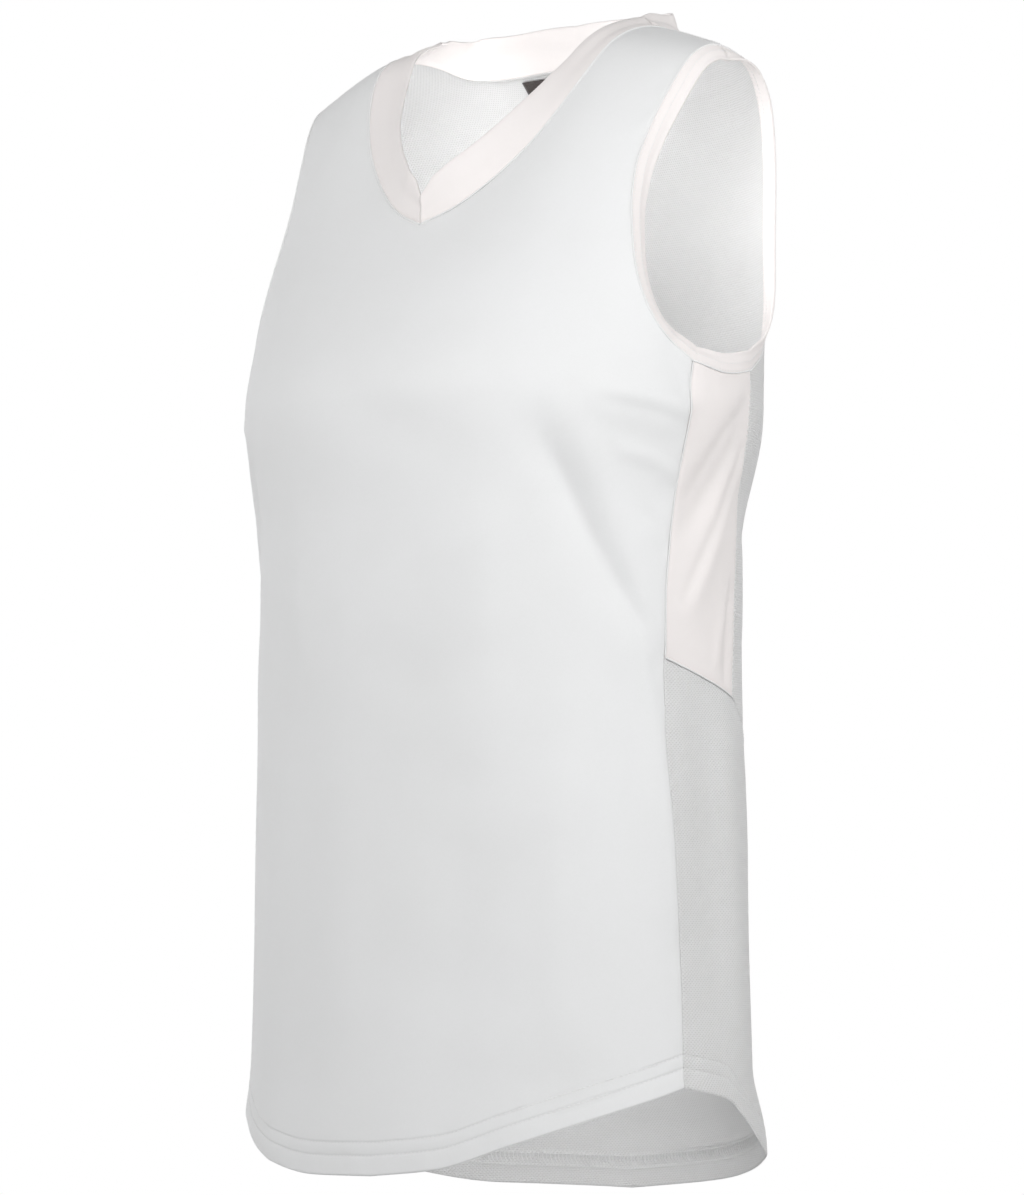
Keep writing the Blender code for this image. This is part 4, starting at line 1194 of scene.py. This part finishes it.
def holes_group():
    """Rows of small round or long holes, each row shifted by half a step."""
    tree, given, put_out = new_group(
        "mesh_holes", (("Across", 0.0018), ("Up", 0.0016), ("Hole", 0.26), ("Soft", 0.14)),
        ("Hole",))
    apart = node_in(tree, "ShaderNodeSeparateXYZ")
    feed(tree, apart.inputs[0], given["Grain"])
    up = math_of(tree, "DIVIDE", apart.outputs["Y"], given["Up"])
    shift = math_of(tree, "MULTIPLY", math_of(tree, "FLOOR", up), 0.5)
    across = math_of(tree, "DIVIDE", apart.outputs["X"], given["Across"])
    across = math_of(tree, "ADD", across, shift)
    beside = math_of(tree, "SUBTRACT", math_of(tree, "FRACT", across), 0.5)
    above = math_of(tree, "SUBTRACT", math_of(tree, "FRACT", up), 0.5)
    square = math_of(tree, "ADD", math_of(tree, "MULTIPLY", beside, beside),
                     math_of(tree, "MULTIPLY", above, above))
    beyond = math_of(tree, "SUBTRACT", math_of(tree, "SQRT", square), given["Hole"])
    share = math_of(tree, "DIVIDE", beyond, given["Soft"], clamp=True)
    feed(tree, put_out["Hole"], math_of(tree, "SUBTRACT", 1.0, share))
    return tree


def twist_group():
    """The slanting strands of a twisted thread."""
    tree, given, put_out = new_group("thread_twist", (("Pitch", 0.0006),), ("Strand",))
    apart = node_in(tree, "ShaderNodeSeparateXYZ")
    feed(tree, apart.inputs[0], given["Grain"])
    slant = math_of(tree, "ADD", apart.outputs["X"], apart.outputs["Y"])
    turn = math_of(tree, "MULTIPLY", math_of(tree, "DIVIDE", slant, given["Pitch"]), 2 * math.pi)
    wave = math_of(tree, "SINE", turn)
    feed(tree, put_out["Strand"], math_of(tree, "MULTIPLY_ADD", wave, 0.5, 0.5))
    return tree


def new_finish(name, roughness, sheen, specular=0.4):
    """A material with its constants set, its tree, its shader and the cloth's flat coordinates."""
    material = bpy.data.materials.new(name)
    material.use_nodes = True
    tree = material.node_tree
    shader = tree.nodes["Principled BSDF"]
    shader.inputs["Roughness"].default_value = roughness
    shader.inputs["Specular IOR Level"].default_value = specular
    shader.inputs["Sheen Weight"].default_value = sheen
    shader.inputs["Sheen Roughness"].default_value = 0.4
    grain_way = node_in(tree, "ShaderNodeUVMap", uv_map="cloth_grain").outputs["UV"]
    return material, tree, shader, grain_way


def relief(tree, shader, height, depth):
    bump = node_in(tree, "ShaderNodeBump")
    bump.inputs["Distance"].default_value = depth
    bump.inputs["Strength"].default_value = 1.0
    feed(tree, bump.inputs["Height"], height)
    feed(tree, shader.inputs["Normal"], bump.outputs["Normal"])


def cloth_finish(name, light, shade, groups, roughness=0.55, sheen=0.2, specular=0.4,
                 column=0.0006, row=0.0005, depth=0.00012, painted_groove_shade=0.20, holes=None,
                 painted_hole_shade=0.0):
    """Knitted cloth: two tones mixed in random soft patches and fuzz, with painted shade in the
    knit's grooves, in the holes and beside the seams; knit relief and holes as bumps.
    """
    material, tree, shader, grain_way = new_finish(name, roughness, sheen, specular=specular)
    patch = placed(tree, groups["patches"], grain_way, Size=0.06, Seed=1.0)["Patch"]
    fuzz = placed(tree, groups["patches"], grain_way, Size=0.0011, Seed=4.0)["Patch"]
    knit = placed(tree, groups["knit"], grain_way, Column=column, Row=row)["Height"]
    # The seam mask darkens the cloth beside its seams: painted shade.
    seam = node_in(tree, "ShaderNodeAttribute", attribute_name="painted_seam_shade").outputs["Fac"]
    share = math_of(tree, "MULTIPLY", patch, 0.45)
    share = math_of(tree, "MULTIPLY_ADD", fuzz, 0.30, share)
    share = math_of(tree, "MULTIPLY_ADD", seam, 0.20, share)
    # The knit's grooves are darker than its ridges: painted shade.
    share = math_of(tree, "MULTIPLY_ADD", math_of(tree, "SUBTRACT", 1.0, knit), painted_groove_shade, share)
    height = math_of(tree, "MULTIPLY_ADD", fuzz, 0.35, knit)
    if holes:
        hole = placed(tree, groups["holes"], grain_way, Across=holes[0], Up=holes[1],
                      Hole=holes[2], Soft=holes[3])["Hole"]
        # The holes are painted darker, as the shade seen through them: painted shade.
        share = math_of(tree, "MULTIPLY_ADD", hole, painted_hole_shade, share)
        height = math_of(tree, "MULTIPLY_ADD", hole, -2.2, height)
    share = math_of(tree, "ADD", share, 0.0, clamp=True)
    feed(tree, shader.inputs["Base Color"], blend_colour(tree, share, light, shade))
    feed(tree, shader.inputs["Roughness"],
         math_of(tree, "MULTIPLY_ADD", fuzz, 0.16, roughness - 0.08))
    relief(tree, shader, height, depth)
    return material


def thread_finish(name, light, shade, groups, pitch):
    """Polyester thread: slanting strands with a soft gloss, painted darker between the strands as
    shade in the twist's grooves.
    """
    material, tree, shader, grain_way = new_finish(name, 0.42, 0.1)
    strand = placed(tree, groups["twist"], grain_way, Pitch=pitch)["Strand"]
    feed(tree, shader.inputs["Base Color"], blend_colour(tree, strand, shade, light))
    feed(tree, shader.inputs["Roughness"], math_of(tree, "MULTIPLY_ADD", strand, -0.12, 0.5))
    relief(tree, shader, strand, 0.00005)
    return material


def ribbon_finish(name, light, shade, groups):
    """Dark satin ribbon: fine ribs across and a soft gloss."""
    material, tree, shader, grain_way = new_finish(name, 0.42, 0.25, specular=0.5)
    rib = placed(tree, groups["twist"], grain_way, Pitch=0.0009)["Strand"]
    knit = placed(tree, groups["knit"], grain_way, Column=0.0009, Row=0.0004)["Height"]
    patch = placed(tree, groups["patches"], grain_way, Size=0.012, Seed=9.0)["Patch"]
    # The knit's ridges and the rib strands are lighter than the grooves between them: painted
    # shade. The patches are random tone.
    share = math_of(tree, "MULTIPLY_ADD", knit, 0.4, math_of(tree, "MULTIPLY", patch, 0.6))
    share = math_of(tree, "MULTIPLY_ADD", rib, 0.1, share, clamp=True)
    feed(tree, shader.inputs["Base Color"], blend_colour(tree, share, shade, light))
    feed(tree, shader.inputs["Roughness"], math_of(tree, "MULTIPLY_ADD", patch, 0.2, 0.34))
    relief(tree, shader, knit, 0.0001)
    return material


def floor_finish(name, light, shade, groups):
    """A pale smooth studio floor with faint clouds."""
    material, tree, shader, _ = new_finish(name, 0.8, 0.0)
    place = node_in(tree, "ShaderNodeTexCoord").outputs["Object"]
    cloud = placed(tree, groups["patches"], place, Size=1.6, Seed=2.0)["Patch"]
    dust = placed(tree, groups["patches"], place, Size=0.01, Seed=6.0)["Patch"]
    share = math_of(tree, "MULTIPLY_ADD", dust, 0.3, math_of(tree, "MULTIPLY", cloud, 0.7))
    feed(tree, shader.inputs["Base Color"], blend_colour(tree, share, light, shade))
    relief(tree, shader, dust, 0.0004)
    return material


def make_finishes():
    """All finishes by name, made from four shared groups."""
    groups = {"patches": patches_group(), "knit": knit_group(), "holes": holes_group(),
              "twist": twist_group()}
    return {
        "knit": cloth_finish("smooth_knit_finish", KNIT_LIGHT, KNIT_SHADE, groups,
                             roughness=0.46, sheen=0.22, specular=0.55, depth=0.00007),
        "upper_mesh": cloth_finish("upper_mesh_finish", MESH_LIGHT, MESH_SHADE, groups,
                                   roughness=0.66, sheen=0.15, depth=0.00014,
                                   holes=(0.0017, 0.0014, 0.16, 0.16), painted_hole_shade=0.9),
        "lower_mesh": cloth_finish("lower_mesh_finish", MESH_LIGHT, MESH_SHADE, groups,
                                   roughness=0.66, sheen=0.15, depth=0.00016, column=0.0009,
                                   row=0.0008, holes=(0.0024, 0.0011, 0.14, 0.18),
                                   painted_hole_shade=0.9),
        "trim": cloth_finish("trim_knit_finish", TRIM_LIGHT, TRIM_SHADE, groups,
                             roughness=0.58, sheen=0.25, depth=0.00009, column=0.0007,
                             row=0.0005),
        "thread": thread_finish("white_thread_finish", THREAD_LIGHT, THREAD_SHADE, groups, 0.0006),
        "ribbon": ribbon_finish("label_ribbon_finish", RIBBON_LIGHT, RIBBON_SHADE, groups),
        "floor": floor_finish("pale_floor_finish", FLOOR_LIGHT, FLOOR_SHADE, groups),
    }


# ---------------------------------------------------------------- stage, light and camera

def aim(thing, way):
    thing.rotation_mode = "QUATERNION"
    thing.rotation_quaternion = way.to_track_quat("-Z", "Y")


def make_camera():
    turn, rise = math.radians(CAMERA_TURN), math.radians(CAMERA_RISE)
    back = Vector((math.sin(turn) * math.cos(rise), -math.cos(turn) * math.cos(rise),
                   math.sin(rise)))
    data = bpy.data.cameras.new("photo_camera")
    camera = put("photo_camera", data)
    data.sensor_fit = "HORIZONTAL"
    data.sensor_width = SENSOR
    data.lens = CAMERA_AWAY / (PHOTO_WIDTH * METRES_A_PIXEL) * SENSOR
    camera.location = CAMERA_TARGET + back * CAMERA_AWAY
    aim(camera, -back)
    bpy.context.scene.camera = camera


def soft_light(name, place, target, size, watts):
    """A square light of soft white at a place, turned to a target and hidden from the camera."""
    data = bpy.data.lights.new(name, "AREA")
    data.shape = "SQUARE"
    data.size = size
    data.energy = watts
    lamp = put(name, data)
    lamp.location = place
    aim(lamp, Vector(target) - Vector(place))
    lamp.visible_camera = False


def make_lights():
    """Two big lights, and three small ones in the hollow that brighten the cloth's inner side."""
    for name, place, target, size, watts in LIGHTS:
        soft_light(name, place, target, size, watts)


def make_world():
    """White round about: full white to the camera, softer as light, and dimmer from above."""
    world = bpy.data.worlds.new("white_studio")
    bpy.context.scene.world = world
    world.use_nodes = True
    tree = world.node_tree
    background = tree.nodes["Background"]
    background.inputs["Color"].default_value = (1.0, 1.0, 1.0, 1.0)
    way = node_in(tree, "ShaderNodeTexCoord").outputs["Generated"]
    apart = node_in(tree, "ShaderNodeSeparateXYZ")
    feed(tree, apart.inputs[0], way)
    above = node_in(tree, "ShaderNodeMapRange", interpolation_type="SMOOTHSTEP")
    above.inputs["From Min"].default_value = 0.05
    above.inputs["From Max"].default_value = 0.9
    above.inputs["To Min"].default_value = WORLD_LIGHT
    above.inputs["To Max"].default_value = ABOVE_LIGHT
    feed(tree, above.inputs["Value"], apart.outputs["Z"])
    ray = node_in(tree, "ShaderNodeLightPath")
    strength = node_in(tree, "ShaderNodeMix", data_type="FLOAT")
    feed(tree, strength.inputs[0], ray.outputs["Is Camera Ray"])
    feed(tree, strength.inputs[2], above.outputs["Result"])
    strength.inputs[3].default_value = 1.0
    feed(tree, background.inputs["Strength"], strength.outputs[0])


def make_floor(material):
    """A wide pale disc far below the jersey."""
    steps = 96
    turns = [2 * math.pi * k / steps for k in range(steps)]
    points = [(0.0, 0.0, FLOOR_Z)] + [(FLOOR_REACH * math.cos(t), FLOOR_REACH * math.sin(t),
                                       FLOOR_Z) for t in turns]
    faces = [(0, 1 + k, 1 + (k + 1) % steps) for k in range(steps)]
    mesh = bpy.data.meshes.new("pale_floor")
    mesh.from_pydata(points, [], faces)
    mesh.materials.append(material)
    put("pale_floor", mesh)


# ---------------------------------------------------------------- the jersey

GRAIN = grain_tables()
FOLD_RUNS = runs_of(FOLDS)
CREASE_RUNS = runs_of(CREASES)


def wear(piece, slot, *nodes):
    """The piece rides on the frame and stands for its solids, which it hides. The slot is not used.
    """
    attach(piece, "root")
    if nodes:
        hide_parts(*nodes)


def sew(name, runs, material, slot):
    """Thread as a piece of its own, which rides with the cloth."""
    wear(tubes(name, runs, material), slot)


def make_panels(finishes):
    """The front, the two back panels and the side inserts."""
    sides = ["start", "end"]
    front = panel("front_cloth", front_places(), ["top"] + sides, finishes["knit"], hemmed=True,
                  seed=1)
    wear(front.piece, "smooth_knit", "front_panel")
    upper = panel("back_upper_cloth", back_upper_places(), ["bottom", "top"] + sides,
                  finishes["upper_mesh"], from_back=True, seed=11)
    wear(upper.piece, "back_mesh", "back_upper")
    lower = panel("back_lower_cloth", back_lower_places(), ["top"] + sides,
                  finishes["lower_mesh"], hemmed=True, from_back=True, seed=21)
    wear(lower.piece, "back_mesh", "back_lower")
    inserts = {}
    for side, word in ((1, "left"), (-1, "right")):
        insert = panel("insert_cloth_" + word, insert_places(side), ["bottom", "top"] + sides,
                       finishes["trim"], seed=31 + side)
        wear(insert.piece, "trim_knit", "side_insert_" + word)
        inserts[side] = insert
    return front, upper, lower, inserts


def make_trims(finishes):
    """The armhole bindings, the neckband's three parts and the label."""
    bindings = {}
    for side, word in ((1, "left"), (-1, "right")):
        strip = binding("binding_cloth_" + word, side, finishes["trim"])
        wear(strip.piece, "trim_knit", "armhole_binding_" + word)
        bindings[side] = strip
    for name, start, cells, length in (("front_left", 0, NECK_CELLS, 0.19),
                                       ("back", NECK_CELLS, 2 * BACK_NECK_CELLS, 0.235),
                                       ("front_right", -NECK_CELLS, NECK_CELLS, 0.19)):
        band = neckband("neckband_cloth_" + name, start, cells, finishes["trim"])
        wear(band.piece, "trim_knit", "neckband_" + name)
    label = neck_label("label_ribbon", finishes["ribbon"])
    wear(label, "label_satin", "neck_label")
    return bindings


def sew_hems(front, lower, thread):
    """Two rows of stitches outside each hem and their loops inside it."""
    for word, sheet, seed in (("front", front, 1), ("back", lower, 2)):
        rows = [stitches(sheet.line("bottom", height), seed + number)
                for number, height in enumerate(HEM_ROWS)]
        sew("hem_stitches_" + word, rows, thread, "smooth_knit")
        sew("hem_loops_" + word, [hem_loops(sheet, seed)], thread, "smooth_knit")


def sew_neck(front, upper, thread):
    """The narrow roll along the neck seam and the stitches beside it."""
    place_at, total = neck_place_at()
    numbers = np.linspace(0.0, total, total * 10 + 1)
    line = on_seam(place_at, numbers, total)
    sew("neck_seam_roll", [roll(line, SEAM_ROLL)], thread, "trim_knit")
    half = NECK_CELLS
    rows = [beside_loop(front, place_at, total, NECK_ROW, -half + 0.1, -0.25),
            beside_loop(front, place_at, total, NECK_ROW, 0.25, half - 0.1),
            beside_loop(upper, place_at, total, NECK_ROW, half + 0.2, total - half - 0.2)]
    sew("neck_stitches", [stitches(row, 5, NECK_PITCH, NECK_LENGTH) for row in rows],
        thread, "trim_knit")


def sew_shoulders(front, upper, thread):
    """A row of stitches in front of each shoulder seam and two rows behind it."""
    columns = SHOULDER_CELLS * COLUMN_SPLITS + len(SEAM_STEPS) - 3
    rows = []
    for sheet, distances in ((front, SHOULDER_ROWS[:1]), (upper, SHOULDER_ROWS)):
        for distance in distances:
            rows.append(stitches(sheet.line("top", distance, start=2, stop=columns), 7))
            rows.append(stitches(sheet.line("top", distance, start=-columns, stop=-2), 8))
    sew("shoulder_stitches", rows, thread, "smooth_knit")


def sew_bindings(bindings, thread):
    """The narrow roll along each binding's seam and two rows of stitches on both its faces."""
    for side, word in ((1, "left"), (-1, "right")):
        strip = bindings[side]
        place_at, total = armhole_place_at(side)
        numbers = np.linspace(0.0, total - 0.01, total * 10)
        line = on_seam(place_at, numbers, total)
        sew("binding_seam_roll_" + word, [roll(line, SEAM_ROLL)], thread, "trim_knit")
        rows = [stitches(strip.line("bottom", distance, inside), 9, SMALL_PITCH, SMALL_LENGTH,
                         SMALL_THREAD)
                for inside in (False, True) for distance in BINDING_ROWS]
        sew("binding_stitches_" + word, rows, thread, "trim_knit")


def sew_inserts(lower, inserts, thread):
    """The rolls and stitches of the side inserts, and the stitches of the lower back's seam."""
    for side, word in ((1, "left"), (-1, "right")):
        front_seam = open_seam(INSERT_FRONT_SEAM, INSERT_CELLS, side)
        under_seam = open_seam(INSERT_HEM_SEAM, INSERT_WIDTH_CELLS, side)
        rolls = [roll(front_seam, FINE_ROLL), roll(under_seam, SEAM_ROLL, sink=0.0)]
        sew("insert_seam_roll_" + word, rolls, thread, "trim_knit")
        edge = "end" if side > 0 else "start"
        line = inserts[side].line(edge, SEAM_ROW, start=2, stop=-2)
        sew("insert_stitches_" + word, [stitches(line, 4, INSERT_PITCH, INSERT_LENGTH)],
            thread, "trim_knit")
    line = lower.line("top", SEAM_ROW, start=2, stop=-2)
    sew("yoke_stitches", [stitches(line, 3, YOKE_PITCH, YOKE_LENGTH)], thread, "back_mesh")


def make_jersey(finishes):
    front, upper, lower, inserts = make_panels(finishes)
    bindings = make_trims(finishes)
    thread = finishes["thread"]
    sew_hems(front, lower, thread)
    sew_neck(front, upper, thread)
    sew_shoulders(front, upper, thread)
    sew_bindings(bindings, thread)
    sew_inserts(lower, inserts, thread)


finishes = make_finishes()
make_jersey(finishes)
make_floor(finishes["floor"])
make_camera()
make_world()
make_lights()
bpy.context.scene.view_settings.view_transform = "Standard"
bpy.context.view_layer.update()
